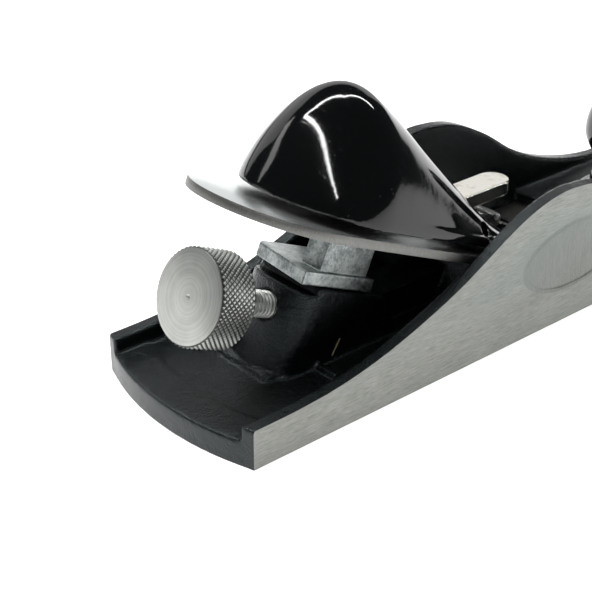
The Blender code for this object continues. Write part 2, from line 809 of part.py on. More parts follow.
def slide_blocks():
    """The upright block under the iron, its tooth, and the tongue that rides in the neck."""
    block = box(
        "block",
        (BLOCK_REAR - BLOCK_LENGTH, -BLOCK_LEFT_Y, SLIDE_TOP - OVERRUN),
        (BLOCK_REAR, -BLOCK_RIGHT_Y, -GAP),
        SQUARE_TO_BED,
        is_cutter=True,
    )
    tooth = box(
        "tooth",
        (tooth_start(), -BLOCK_LEFT_Y + TOOTH_INSET, -OVERRUN),
        (tooth_start() + GROOVE_WIDTH - 2 * GAP, -BLOCK_RIGHT_Y - TOOTH_INSET, GROOVE_DEPTH - GAP),
        SQUARE_TO_BED,
        is_cutter=True,
    )
    half = TONGUE_THICKNESS / 2
    tongue = box(
        "tongue",
        (NECK_CENTRE - half, -TONGUE_WIDTH / 2, SPINDLE_HEIGHT - TONGUE_REACH),
        (NECK_CENTRE + half, TONGUE_WIDTH / 2, SLIDE_BOTTOM + OVERRUN),
        SQUARE_TO_BED,
        is_cutter=True,
    )
    return block, tooth, tongue


def make_slide(finish):
    """The cast slide: a plate on the boss, an upright block under the iron, a tongue below."""
    half = SLIDE_WIDTH / 2
    out, along, back = SLIDE_CORNER
    outline = [
        (SLIDE_FRONT, -half),
        (SLIDE_FRONT, half),
        (SLIDE_REAR_NEAR, half),
        (SLIDE_REAR_FAR + out, along - half),
        (SLIDE_REAR_FAR - back, -half),
    ]
    slide = slab("adjuster_slide", outline, SLIDE_BOTTOM, SLIDE_TOP, SQUARE_TO_BED, finish)
    add_to(slide, *slide_blocks())
    neck_half = NECK_RADIUS + GAP
    reach = TONGUE_THICKNESS
    notch = box(
        "notch",
        (NECK_CENTRE - reach, -neck_half, SPINDLE_HEIGHT - TONGUE_REACH - OVERRUN),
        (NECK_CENTRE + reach, neck_half, SPINDLE_HEIGHT + neck_half),
        SQUARE_TO_BED,
        is_cutter=True,
    )
    cut_from(slide, notch)
    smooth(slide)
    return slide


def spindle_frame():
    """Local +Z up the bed along the spindle's axis, towards the heel."""
    return bed_frame(0.0, SPINDLE_HEIGHT) @ Matrix.Rotation(math.pi / 2, 4, "Y")


def make_spindle(finish):
    neck_low = NECK_CENTRE - NECK_LENGTH / 2
    neck_high = NECK_CENTRE + NECK_LENGTH / 2
    end = WHEEL_REAR - WHEEL_SOCKET
    profile = [
        (0.0, end),
        (SPINDLE_RADIUS, end),
        (SPINDLE_RADIUS, neck_high),
        (NECK_RADIUS, neck_high),
        (NECK_RADIUS, neck_low),
        (SPINDLE_RADIUS, neck_low),
        (SPINDLE_RADIUS, SPINDLE_END),
        (0.0, SPINDLE_END),
    ]
    spindle = turned("depth_spindle", profile, spindle_frame(), finish, BORE_STEPS)
    smooth(spindle)
    return spindle


def make_wheel(finish):
    front = WHEEL_REAR - WHEEL_THICKNESS
    profile = [
        (0.0, WHEEL_REAR),
        (WHEEL_RADIUS - WHEEL_CHAMFER, WHEEL_REAR),
        (WHEEL_RADIUS, WHEEL_REAR - WHEEL_CHAMFER),
        (WHEEL_RADIUS, front + WHEEL_CHAMFER),
        (WHEEL_RADIUS - WHEEL_CHAMFER, front),
        (0.0, front),
    ]
    wheel = turned("depth_wheel", profile, spindle_frame(), finish, FINE_STEPS)
    bore = rod(
        "wheel_bore",
        SPINDLE_RADIUS + GAP,
        front - OVERRUN,
        WHEEL_REAR - WHEEL_SOCKET + GAP,
        spindle_frame(),
        is_cutter=True,
        steps=BORE_STEPS,
    )
    cut_from(wheel, bore)
    smooth(wheel)
    return wheel


def make_cap_screw(finish):
    head_bottom = IRON_TOP + CAP_LIFT + CAP_PLATE_THICKNESS + GAP
    place = bed_frame(CAP_SCREW_AT, 0.0)
    top = head_bottom + CAP_SCREW_HEAD
    profile = [
        (0.0, top),
        (CAP_SCREW_HEAD_RADIUS - CAP_SCREW_EDGE, top),
        (CAP_SCREW_HEAD_RADIUS, top - CAP_SCREW_EDGE),
        (CAP_SCREW_HEAD_RADIUS, head_bottom),
        (CAP_SCREW_RADIUS, head_bottom),
        (CAP_SCREW_RADIUS, -CAP_SCREW_DEPTH),
        (0.0, -CAP_SCREW_DEPTH),
    ]
    screw = turned("cap_screw", profile, place, finish)
    half, reach = CAP_SCREW_SLOT_HALF, 2 * CAP_SCREW_HEAD_RADIUS
    low = (-half, -reach, top - CAP_SCREW_SLOT_DEPTH)
    slot = box("screw_slot", low, (half, reach, top + OVERRUN), place, is_cutter=True)
    cut_from(screw, slot)
    smooth(screw)
    return screw


def hood_width(along):
    """Half the hood's width: a half-round rear, then sides that close in like a bow."""
    half = CAP_WIDTH / 2
    if along < half:
        return math.sqrt(max(half**2 - (half - along) ** 2, 0.0))
    span = HOOD_RIDGE[-1][0] - HOOD_TAPER_START
    share = max(along - HOOD_TAPER_START, 0.0) / span
    return half - HOOD_TAPER * share**1.5


def power(value, exponent):
    return math.copysign(abs(value) ** exponent, value)


def hood_mesh(inset):
    """The palm hood as a closed loft of domed sections, or its hollow when inset by a wall."""
    drop = HOLLOW_DROP if inset else 0.0
    base = IRON_TOP + CAP_LIFT - drop
    ridge = spline_through(HOOD_RIDGE, 3)[1:]
    across = 20
    rings = []
    for along, height in ridge:
        if not inset * HOLLOW_START < along < HOOD_RIDGE[-1][0] - inset:
            continue
        half = hood_width(along) - inset
        tall = height - inset + drop
        if half < HOOD_LEAST or tall < HOOD_LEAST:
            continue
        ring = []
        for step in range(across + 1):
            turn = math.pi * step / across
            y = half * power(math.cos(turn), 2 / HOOD_SECTION_POWER)
            z = tall * power(math.sin(turn), 2 / HOOD_CROWN_POWER)
            ring.append((HOOD_REAR - along, y, base + z))
        rings.append(ring)
    mesh = bpy.data.meshes.new("hood")
    shape = bmesh.new()
    rows = [[shape.verts.new(point) for point in ring] for ring in rings]
    for row, following in zip(rows, rows[1:]):
        for step in range(across):
            shape.faces.new((row[step], row[step + 1], following[step + 1], following[step]))
        shape.faces.new((row[0], following[0], following[-1], row[-1]))
    shape.faces.new(rows[0])
    shape.faces.new(rows[-1][::-1])
    bmesh.ops.recalc_face_normals(shape, faces=shape.faces)
    shape.to_mesh(mesh)
    shape.free()
    return mesh


def cap_nose(bottom, top):
    """The lip that presses on the iron, and the cutter that slopes the plate's front."""
    half = CAP_WIDTH / 2
    sideways = SQUARE_TO_BED @ Matrix.Rotation(math.pi / 2, 4, "X")
    lip, shoulder = bottom - CAP_LIFT + GAP, top - CAP_NOSE_DROP
    outline = [
        (CAP_NOSE, lip),
        (CAP_NOSE + CAP_NOSE_LENGTH, lip),
        (CAP_NOSE + CAP_NOSE_LENGTH, shoulder),
        (CAP_NOSE + CAP_NOSE_BACK, shoulder),
        (CAP_NOSE, lip + CAP_NOSE_LAND),
    ]
    inset = half - NOSE_INSET
    nose = slab("cap_nose", outline, -inset, inset, sideways, is_cutter=True)
    slope = [
        (CAP_NOSE - OVERRUN, top - CAP_TRIM_HEIGHT),
        (CAP_NOSE + CAP_NOSE_LENGTH, top + OVERRUN),
        (CAP_NOSE - OVERRUN, top + OVERRUN),
    ]
    trim = slab("cap_trim", slope, -half - OVERRUN, half + OVERRUN, sideways, is_cutter=True)
    return nose, trim


def make_lever_cap(finish):
    """A flat keyholed plate that narrows to the nose, with the hollow palm hood over its rear."""
    cap = add_object("lever_cap", hood_mesh(0.0), SQUARE_TO_BED, finish, False)
    half = CAP_WIDTH / 2
    bottom = IRON_TOP + CAP_LIFT
    top = bottom + CAP_PLATE_THICKNESS
    side = half - PLATE_INSET
    low, high = (CAP_NOSE, -side, bottom), (CAP_PLATE_REAR, side, top)
    plate = box("cap_plate", low, high, SQUARE_TO_BED, is_cutter=True)
    nose, trim = cap_nose(bottom, top)
    hollow = add_object("hood_hollow", hood_mesh(HOOD_WALL), SQUARE_TO_BED, None, True)
    add_to(cap, plate, nose)
    cut_from(cap, trim, hollow, *keyhole(bottom, top), *cam_openings())
    smooth(cap)
    return cap


def round_ended(radius, steps):
    """The outline of a slot along the bed, as long as the cap's removal."""
    outline = arc((CAP_SCREW_AT, 0.0), radius, -90, 90, steps)
    return outline + arc((CAP_SCREW_AT - CAP_REMOVAL, 0.0), radius, 90, 270, steps)


def keyhole(bottom, top):
    """The keyhole for the cap screw, with room over it for the screw's head."""
    neck = CAP_SCREW_RADIUS + OVERLAP
    head = CAP_SCREW_HEAD_RADIUS + OVERLAP
    low = bottom - 3 * OVERRUN
    place = SQUARE_TO_BED
    slot = slab("key_slot", round_ended(neck, 10), low, top + OVERRUN, place, is_cutter=True)
    at_eye = bed_frame(CAP_SCREW_AT - CAP_REMOVAL, 0.0)
    eye = rod("key_eye", head, low, THROUGH, at_eye, is_cutter=True)
    head_room = slab("head_room", round_ended(head, 12), top, THROUGH, place, is_cutter=True)
    return slot, eye, head_room


def cam_openings():
    """The way of the cam lever, open above and over the cam below, and the bore for its pin."""
    half = LEVER_SLOT / 2
    floor = IRON_TOP + CAM_HEIGHT + LEVER_SLOT_FLOOR
    front = CAP_SCREW_AT - LEVER_SLOT_FRONT
    cam_front = CAM_PIVOT - CAM_RADIUS - LEVER_SLOT_SPARE
    cam_rear = CAM_PIVOT + CAM_RADIUS + LEVER_SLOT_SPARE
    way = [
        (front, floor),
        (cam_front, floor),
        (cam_front, -OVERRUN),
        (cam_rear, -OVERRUN),
        (cam_rear, THROUGH),
        (front, THROUGH),
    ]
    sideways = SQUARE_TO_BED @ Matrix.Rotation(math.pi / 2, 4, "X")
    lever_way = slab("lever_way", way, -half, half, sideways, is_cutter=True)
    pin_bore = rod(
        "cap_pin_bore",
        CAM_PIN_RADIUS + SLIDE_CLEARANCE,
        -THROUGH,
        cam_pin_half() + GAP,
        cam_frame(),
        is_cutter=True,
        steps=PIN_STEPS,
    )
    return lever_way, pin_bore


def cam_pin_half():
    """Half the pin's length. Its bore is blind on the right and open on the left."""
    return hood_width(HOOD_REAR - CAM_PIVOT) * CAM_PIN_SHARE


def cam_frame():
    """On the cam lever's pivot, local Z along the pin, local X level towards the toe."""
    pivot = on_bed(CAM_PIVOT, IRON_TOP + CAM_HEIGHT)
    return Matrix.Translation(pivot) @ Matrix.Rotation(math.pi / 2, 4, "X")


def make_cam_lever(finish):
    """A cam disc set off its pivot towards the iron, and a level flat handle with a round end."""
    toward_iron = Vector((-math.sin(BED_ANGLE), -math.cos(BED_ANGLE)))
    centre = toward_iron * CAM_THROW
    half = LEVER_WIDTH / 2
    cam = rod(
        "cam_lever",
        CAM_RADIUS,
        -half,
        half,
        cam_frame() @ Matrix.Translation((centre.x, centre.y, 0.0)),
        finish,
    )
    end = LEVER_REACH - half
    outline = [(0.0, -half)] + arc((end, 0.0), half, -90, 90, 16) + [(0.0, half)]
    flat = Matrix.Rotation(-math.pi / 2, 4, "X")
    handle = slab(
        "lever_handle",
        outline,
        -LEVER_THICKNESS / 2,
        LEVER_THICKNESS / 2,
        cam_frame() @ flat,
        is_cutter=True,
    )
    bevel(handle, LEVER_EDGE)
    add_to(cam, handle)
    bore = rod(
        "cam_bore",
        CAM_PIN_RADIUS + SLIDE_CLEARANCE,
        -THROUGH,
        THROUGH,
        cam_frame(),
        is_cutter=True,
        steps=PIN_STEPS,
    )
    cut_from(cam, bore)
    smooth(cam)
    return cam


def make_cam_pin(finish):
    half = cam_pin_half()
    pin = rod("cam_pin", CAM_PIN_RADIUS, -half, half, cam_frame(), finish, steps=PIN_STEPS)
    smooth(pin)
    return pin


def main():
    japan = material("black_japan", (0.010, 0.010, 0.011), 0.30, 0.0)
    enamel = material("cap_enamel", (0.006, 0.006, 0.007), 0.12, 0.0)
    ground = material("ground_steel", (0.42, 0.42, 0.40), 0.35, 1.0)
    bright = material("bright_steel", (0.52, 0.52, 0.50), 0.25, 1.0)
    zinc = material("cast_zinc", (0.30, 0.33, 0.33), 0.45, 1.0)
    chrome = material("chrome", (0.75, 0.75, 0.74), 0.08, 1.0)
    lacquer = material("black_lacquer", (0.008, 0.008, 0.009), 0.20, 0.0)
    make_body(japan)
    make_throat_plate(ground)
    make_eccentric(bright)
    make_eccentric_pin(bright)
    make_stud(bright)
    make_washer(bright)
    make_knob(lacquer)
    iron = make_iron(ground)
    tooth_middle = tooth_start() + GROOVE_WIDTH / 2 - GAP
    block_middle = (BLOCK_RIGHT_Y + BLOCK_LEFT_Y) / 2
    hang_on_pivot(iron, "iron_pivot", bed_frame(tooth_middle, 0.0, block_middle))
    make_slide(zinc)
    make_spindle(bright)
    make_wheel(bright)
    make_cap_screw(bright)
    make_lever_cap(enamel)
    make_cam_lever(chrome)
    make_cam_pin(bright)


main()
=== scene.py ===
"""Looks of the block plane: cast, ground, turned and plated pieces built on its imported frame.

Metres, +Z up, +X towards the toe. Lengths along the sloping bed run up from the point where the
bed plane meets the sole, and heights over the bed are square to it.
"""

import json
import math

import bmesh
import bpy
from mathutils import Matrix, Vector


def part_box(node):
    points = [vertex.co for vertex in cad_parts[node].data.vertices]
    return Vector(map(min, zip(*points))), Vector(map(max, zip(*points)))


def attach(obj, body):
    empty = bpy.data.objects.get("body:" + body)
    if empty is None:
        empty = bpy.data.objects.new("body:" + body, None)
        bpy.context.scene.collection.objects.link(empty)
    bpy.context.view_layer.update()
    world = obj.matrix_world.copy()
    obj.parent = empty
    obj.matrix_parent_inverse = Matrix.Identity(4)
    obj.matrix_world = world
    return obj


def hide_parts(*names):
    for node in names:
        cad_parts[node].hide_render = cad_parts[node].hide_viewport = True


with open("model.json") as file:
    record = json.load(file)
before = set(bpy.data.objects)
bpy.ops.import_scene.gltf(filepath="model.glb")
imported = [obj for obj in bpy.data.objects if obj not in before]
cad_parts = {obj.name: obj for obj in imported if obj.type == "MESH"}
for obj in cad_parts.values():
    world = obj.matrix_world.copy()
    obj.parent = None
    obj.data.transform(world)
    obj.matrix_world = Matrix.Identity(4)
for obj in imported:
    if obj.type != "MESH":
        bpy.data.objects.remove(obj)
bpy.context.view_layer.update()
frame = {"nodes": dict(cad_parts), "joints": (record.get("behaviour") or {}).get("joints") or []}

JOINTS = {joint["name"]: joint for joint in frame["joints"]}
NODES = frame["nodes"]


# ---------------------------------------------------------------- places on the bed

TILT = Vector(JOINTS["iron_skew"]["axis"])
BED_ANGLE = math.atan2(TILT.x, TILT.z)
TOOTH = Vector(JOINTS["iron_skew"]["pos_m"])
BED_FOOT = Vector((TOOTH.x + TOOTH.z / math.tan(BED_ANGLE), 0.0, 0.0))
UP_BED = Vector((-math.cos(BED_ANGLE), 0.0, math.sin(BED_ANGLE)))
SQUARE = Vector((math.sin(BED_ANGLE), 0.0, math.cos(BED_ANGLE)))


def bed_frame(up=0.0, height=0.0, side=0.0):
    """Local +X up the bed towards the heel, local +Z square to it."""
    turn = Matrix.Rotation(BED_ANGLE, 4, "Y") @ Matrix.Rotation(math.pi, 4, "Z")
    foot = BED_FOOT + UP_BED * up + SQUARE * height + Vector((0, side, 0))
    return Matrix.Translation(foot) @ turn


WHEEL_CENTRE = Vector(JOINTS["depth_wheel_turn"]["pos_m"])
SPINDLE_HEIGHT = (WHEEL_CENTRE - BED_FOOT).dot(SQUARE)
SPINDLE_FRAME = bed_frame(0.0, SPINDLE_HEIGHT) @ Matrix.Rotation(math.pi / 2, 4, "Y")
STUD = Vector(JOINTS["knob_turn"]["pos_m"])
CAM_PIVOT = Vector(JOINTS["cam_lever_swing"]["pos_m"])


# ---------------------------------------------------------------- node trees written as sums


class Wire:
    """One number in a node tree. Arithmetic on it adds Math nodes to the tree."""

    def __init__(self, tree, socket):
        self.tree = tree
        self.socket = socket

    def __add__(self, other):
        return self.tree.math("ADD", self, other)

    def __sub__(self, other):
        return self.tree.math("SUBTRACT", self, other)

    def __mul__(self, other):
        return self.tree.math("MULTIPLY", self, other)

    def __truediv__(self, other):
        return self.tree.math("DIVIDE", self, other)

    def __mod__(self, other):
        return self.tree.math("MODULO", self, other)

    def __rsub__(self, other):
        return self.tree.math("SUBTRACT", other, self)

    def __rtruediv__(self, other):
        return self.tree.math("DIVIDE", other, self)

    def __neg__(self):
        return self.tree.math("SUBTRACT", 0.0, self)

    def __abs__(self):
        return self.tree.math("ABSOLUTE", self)

    __radd__ = __add__
    __rmul__ = __mul__


class Tree:
    """A node tree that is filled by calls."""

    def __init__(self, tree):
        self.tree = tree

    def node(self, kind, settings=None, sockets=None):
        """Adds a node. Its settings come first, then the values or links of its sockets."""
        made = self.tree.nodes.new(kind)
        for name, value in (settings or {}).items():
            if name == "stops":
                self.set_stops(made.color_ramp, value)
            else:
                setattr(made, name, value)
        for name, value in (sockets or {}).items():
            self.feed(made.inputs[name], value)
        return made

    @staticmethod
    def set_stops(ramp, stops):
        while len(ramp.elements) < len(stops):
            ramp.elements.new(0.5)
        for element, (place, colour) in zip(ramp.elements, stops):
            element.position = place
            element.color = colour

    def feed(self, socket, value):
        if isinstance(value, Wire):
            value = value.socket
        if isinstance(value, bpy.types.NodeSocket):
            self.tree.links.new(value, socket)
        else:
            socket.default_value = value

    def wire(self, socket):
        return Wire(self, socket)

    def math(self, operation, *values):
        made = self.node("ShaderNodeMath", {"operation": operation}, dict(enumerate(values)))
        return self.wire(made.outputs[0])

    def most(self, a, b):
        return self.math("MAXIMUM", a, b)

    def step(self, value, low, high):
        """0 below low, 1 above high, smooth between. With low above high it falls instead."""
        spread = self.node(
            "ShaderNodeMapRange",
            {"interpolation_type": "SMOOTHSTEP"},
            {"Value": value, "From Min": low, "From Max": high},
        )
        return self.wire(spread.outputs["Result"])


class Finish(Tree):
    """A procedural material read from a piece's own place, in metres."""

    def __init__(self, name):
        self.material = bpy.data.materials.new(name)
        self.material.use_nodes = True
        super().__init__(self.material.node_tree)
        self.shader = self.tree.nodes["Principled BSDF"]
        place = self.node("ShaderNodeTexCoord")
        self.place = place.outputs["Object"]
        self.facing = place.outputs["Normal"]

    def split(self, vector):
        parts = self.node("ShaderNodeSeparateXYZ", None, {"Vector": vector})
        return [self.wire(parts.outputs[axis]) for axis in "XYZ"]

    def seen_from(self, matrix, direction=False):
        """The place, or the facing direction, measured in another frame."""
        inverse = matrix.inverted()
        kind = "NORMAL" if direction else "POINT"
        turned = self.node(
            "ShaderNodeMapping",
            {"vector_type": kind},
            {"Vector": self.facing if direction else self.place, "Rotation": inverse.to_euler()},
        )
        if not direction:
            self.feed(turned.inputs["Location"], inverse.translation)
        return turned.outputs["Vector"]

    def noise(self, scale, detail=2.0, roughness=0.5, stretch=None, place=None):
        """Noise of about one lump in each 1/scale metres, stretched by factors along the axes."""
        place = place or self.place
        if stretch:
            place = self.node(
                "ShaderNodeMapping", {"vector_type": "POINT"}, {"Vector": place, "Scale": stretch}
            ).outputs["Vector"]
        made = self.node(
            "ShaderNodeTexNoise",
            None,
            {"Vector": place, "Scale": scale, "Detail": detail, "Roughness": roughness},
        )
        return self.wire(made.outputs["Fac"])

    def cells(self, scale, place=None):
        """Distance to the nearest of scattered points, about one in each 1/scale metres."""
        sockets = {"Vector": place or self.place, "Scale": scale}
        made = self.node("ShaderNodeTexVoronoi", None, sockets)
        return self.wire(made.outputs["Distance"])

    def mix(self, share, first, second):
        """The first colour, turning into the second as the share goes from 0 to 1."""
        made = self.node("ShaderNodeMix", {"data_type": "RGBA"})
        self.feed(made.inputs["Factor"], share)
        for socket, value in ((made.inputs[6], first), (made.inputs[7], second)):
            self.feed(socket, value)
        return made.outputs[2]

    def blend(self, share, first, second):
        """The same for numbers."""
        if isinstance(first, Wire):
            return first + (second - first) * share
        return share * (second - first) + first

    def bump(self, height, depth, after=None):
        """A bump of that depth in metres for a height from 0 to 1."""
        sockets = {"Height": height, "Distance": depth, "Strength": 1.0}
        made = self.node("ShaderNodeBump", None, sockets)
        if after:
            self.feed(made.inputs["Normal"], after)
        return made.outputs["Normal"]

    def lay(self, **sockets):
        """Sets the Principled shader's sockets, named in lower case with underscores."""
        for name, value in sockets.items():
            label = name.replace("_", " ").title().replace("Ior", "IOR")
            self.feed(self.shader.inputs[label], value)
        return self.material


def grey(level, warmth=0.0):
    return (level * (1 + warmth), level, level * (1 - warmth), 1.0)


# ---------------------------------------------------------------- making meshes


def piece(name, mesh):
    made = bpy.data.objects.new(name, mesh)
    bpy.context.scene.collection.objects.link(made)
    return made


def settle(made):
    """Turns what the modifiers give into the piece's own plain mesh."""
    graph = bpy.context.evaluated_depsgraph_get()
    mesh = bpy.data.meshes.new_from_object(made.evaluated_get(graph))
    made.modifiers.clear()
    made.data = mesh
    return made


def edit(made, *steps):
    """Runs bmesh steps on a piece. Each step is a function of the bmesh."""
    shape = bmesh.new()
    shape.from_mesh(made.data)
    for run in steps:
        run(shape)
    shape.to_mesh(made.data)
    shape.free()
    return made


def face_out(shape):
    bmesh.ops.recalc_face_normals(shape, faces=shape.faces)


def weld(shape):
    bmesh.ops.remove_doubles(shape, verts=shape.verts, dist=2e-6)


def move(made, place):
    made.data.transform(place)
    return made


def shade(made, sharp=40.0):
    made.data.shade_smooth()
    made.data.set_sharp_from_angle(angle=math.radians(sharp))
    return made


def copy_of(node, name):
    """A merged copy of a frame node."""
    source = NODES[node].data
    mesh = bpy.data.meshes.new(name)
    corners = [vertex.co for vertex in source.vertices]
    mesh.from_pydata(corners, [], [face.vertices[:] for face in source.polygons])
    return edit(piece(name, mesh), weld)


def slab(name, outline, low, high, place):
    """An outline in local X and Y, as thick as from one local Z to the other."""
    mesh = bpy.data.meshes.new(name)
    floor = [(x, y, low) for x, y in outline]
    mesh.from_pydata(floor, [], [tuple(range(len(outline)))])
    made = piece(name, mesh)

    def raise_up(shape):
        lifted = bmesh.ops.extrude_face_region(shape, geom=shape.faces[:])["geom"]
        corners = [part for part in lifted if isinstance(part, bmesh.types.BMVert)]
        bmesh.ops.translate(shape, verts=corners, vec=(0.0, 0.0, high - low))

    return move(edit(made, raise_up, face_out), place)


def block(name, low, high, place):
    outline = [(low[0], low[1]), (high[0], low[1]), (high[0], high[1]), (low[0], high[1])]
    return slab(name, outline, low[2], high[2], place)


def arc(centre, radius, start, end, steps):
    """Points on a circle from one angle in degrees to another."""
    turns = [math.radians(start + (end - start) * step / steps) for step in range(steps + 1)]
    return [(centre[0] + radius * math.cos(t), centre[1] + radius * math.sin(t)) for t in turns]


def spun(name, profile, place, steps=96):
    """A turned piece: radius and height pairs about local Z, closed on the axis at both ends."""
    mesh = bpy.data.meshes.new(name)
    corners, faces = [], []
    for radius, height in profile[1:-1]:
        corners += [(x, y, height) for x, y in arc((0.0, 0.0), radius, 0, 360, steps)[:-1]]
    for ring in range(len(profile) - 3):
        for step in range(steps):
            after = (step + 1) % steps
            low, high = ring * steps, (ring + 1) * steps
            faces.append((low + step, low + after, high + after, high + step))
    for at, ring in ((0, 0), (-1, len(profile) - 3)):
        corners.append((0.0, 0.0, profile[at][1]))
        tip = len(corners) - 1
        faces += [
            (ring * steps + step, ring * steps + (step + 1) % steps, tip) for step in range(steps)
        ]
    mesh.from_pydata(corners, [], faces)
    return move(edit(piece(name, mesh), face_out), place)


def boolean(made, other, operation):
    """Cuts or joins at once, and the other piece is used up."""
    step = made.modifiers.new(operation, "BOOLEAN")
    step.operation = operation
    step.solver = "EXACT"
    step.object = other
    settle(made)
    bpy.data.objects.remove(other, do_unlink=True)
    return made


def cut(made, *others):
    for other in others:
        boolean(made, other, "DIFFERENCE")
    return made


def join(made, *others):
    for other in others:
        boolean(made, other, "UNION")
    return made


def ease(made, width, segments=2, sharp=30.0):
    """Rounds the edges by that width."""

    def flatten(shape):
        bmesh.ops.dissolve_limit(
            shape, angle_limit=math.radians(0.5), verts=shape.verts, edges=shape.edges
        )

    edit(made, weld, flatten)
    edge = made.modifiers.new("ease", "BEVEL")
    edge.width = width
    edge.segments = segments
    edge.limit_method = "ANGLE"
    edge.angle_limit = math.radians(sharp)
    edge.use_clamp_overlap = True
    return settle(made)


def cast(made, grid, rounds, place=Matrix()):
    """Gives a piece the soft edges of a casting: a fine even skin, smoothed that many rounds."""
    move(made, place.inverted())
    skin = made.modifiers.new("skin", "REMESH")
    skin.mode = "VOXEL"
    skin.voxel_size = grid
    soften = made.modifiers.new("soften", "SMOOTH")
    soften.factor = 0.5
    soften.iterations = rounds
    return move(settle(made), place)


class Making(Tree):
    """A Geometry Nodes tree with named inputs. It ends by making its instances real."""

    KINDS = {
        float: "NodeSocketFloat",
        int: "NodeSocketInt",
        bpy.types.Material: "NodeSocketMaterial",
    }

    def __init__(self, name, inputs):
        group = bpy.data.node_groups.new(name, "GeometryNodeTree")
        super().__init__(group)
        self.values = inputs
        for label, value in inputs.items():
            kind = next(kind for python, kind in self.KINDS.items() if isinstance(value, python))
            group.interface.new_socket(name=label, in_out="INPUT", socket_type=kind)
        group.interface.new_socket(
            name="Geometry", in_out="OUTPUT", socket_type="NodeSocketGeometry"
        )
        self.given = self.node("NodeGroupInput")

    def size(self, label):
        return self.wire(self.given.outputs[label])

    def grow(self, name, geometry):
        """Ends the tree with this geometry, and makes the plain piece that it gives."""
        real = self.node("GeometryNodeRealizeInstances", None, {"Geometry": geometry})
        painted = self.node(
            "GeometryNodeSetMaterial",
            None,
            {"Geometry": real.outputs[0], "Material": self.given.outputs["Finish"]},
        )
        self.node("NodeGroupOutput", None, {"Geometry": painted.outputs[0]})
        made = piece(name, bpy.data.meshes.new(name))
        step = made.modifiers.new("make", "NODES")
        step.node_group = self.tree
        for item in self.tree.interface.items_tree:
            if item.in_out == "INPUT":
                step[item.identifier] = self.values[item.name]
        return settle(made)


def finish_piece(made, body, slot, finish, *nodes):
    """Paints a piece, hangs it on its body and has it stand for its frame nodes."""
    made.data.materials.clear()
    made.data.materials.append(finish)
    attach(made, body)
    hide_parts(*nodes)
    return made


# ---------------------------------------------------------------- finishes

BODY_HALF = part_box("body_casting")[1].y
DIMPLE = (0.0113, 0.0170)
DIMPLE_REACH = (0.0180, 0.0087)
CHIP = (-0.04945, -0.0100, 0.0082)
CHIP_WAY = (-0.539, -0.843)


def brushed(f, along, fine=9000.0, place=None):
    """Grinding lines: 0 to 1, drawn out along an axis, fine ones over broad ones."""
    stretch = [1.0, 1.0, 1.0]
    stretch[along] = 0.035
    thin = f.noise(fine, 3.0, 0.6, tuple(stretch), place)
    stretch[along] = 0.06
    broad = f.noise(fine / 5, 2.0, 0.5, tuple(stretch), place)
    return thin * 0.65 + broad * 0.35


def cast_grain(f):
    """The lumps and sand pits that show through the black on a casting, 0 to 1."""
    lumps = f.noise(650.0, 3.0, 0.55)
    sand = f.noise(2600.0, 3.0, 0.6)
    pits = f.step(f.cells(1500.0), 0.30, 0.10)
    return lumps * 0.55 + sand * 0.45 - pits * 0.25


def casting_finish():
    """Black japan over the sand casting, ground off the cheeks and the sole."""
    f = Finish("japanned_casting")
    x, y, z = f.split(f.place)
    _, facing_y, facing_z = f.split(f.facing)
    across = (x - DIMPLE[0]) / DIMPLE_REACH[0]
    upright = (z - DIMPLE[1]) / DIMPLE_REACH[1]
    ragged = (f.noise(1800.0, 3.0) - 0.5) * 0.00022
    outer = f.step(abs(y) + ragged, BODY_HALF - 0.00022, BODY_HALF - 0.00010)
    cheek = outer * f.step(abs(facing_y), 0.90, 0.97)
    dish = f.step(across * across + upright * upright, 1.02, 0.99) * f.step(abs(y), 0.0234, 0.0236)
    sole = f.step(-facing_z, 0.90, 0.97) * f.step(z + ragged, 0.00022, 0.00010)
    bare = f.most(f.most(cheek, dish), sole)
    lengthwise = brushed(f, 0, 15000.0)
    upright_lines = brushed(f, 2, 11000.0)
    lines = f.step(f.blend(dish, lengthwise, upright_lines), 0.34, 0.66)
    stain = f.noise(120.0, 4.0, 0.6)
    steel = f.mix(lines * 0.7 + stain * 0.3, (0.135, 0.135, 0.122, 1.0), (0.36, 0.362, 0.335, 1.0))
    steel = f.mix(dish * 0.45, steel, (0.14, 0.142, 0.132, 1.0))
    dust = f.step(f.noise(5200.0, 2.0), 0.70, 0.78) * f.step(f.noise(160.0), 0.45, 0.62)
    japan = f.mix(dust * 0.22, (0.0020, 0.0028, 0.0030, 1.0), (0.09, 0.10, 0.10, 1.0))
    grain = cast_grain(f)
    patchy = f.noise(90.0, 3.0)
    black_rough = patchy * 0.12 + grain * 0.08 + 0.08
    steel_rough = lines * 0.16 + 0.28
    chip_x, chip_z = x - CHIP[0], z - CHIP[2]
    chip_along = chip_x * CHIP_WAY[0] + chip_z * CHIP_WAY[1]
    chip_off = chip_x * CHIP_WAY[1] - chip_z * CHIP_WAY[0]
    chip = f.step(abs(chip_along), 0.0022, 0.0019)
    chip = chip * f.step(abs(chip_off) + ragged, 0.00028, 0.00016)
    chip = chip * f.step(abs(y - CHIP[1]), 0.0013, 0.0008)
    japan = f.mix(chip, japan, (0.50, 0.40, 0.24, 1.0))
    paint_edge = f.bump(bare, -0.00005)
    cast_bump = f.bump(grain * (1 - bare), 0.00030, paint_edge)
    normal = f.bump(lines * bare, 0.000009, cast_bump)
    return f.lay(
        base_color=f.mix(bare, japan, steel),
        metallic=bare,
        roughness=f.blend(bare, black_rough, steel_rough),
        specular_ior_level=0.40,
        specular_tint=(0.84, 0.97, 1.0, 1.0),
        normal=normal,
    )


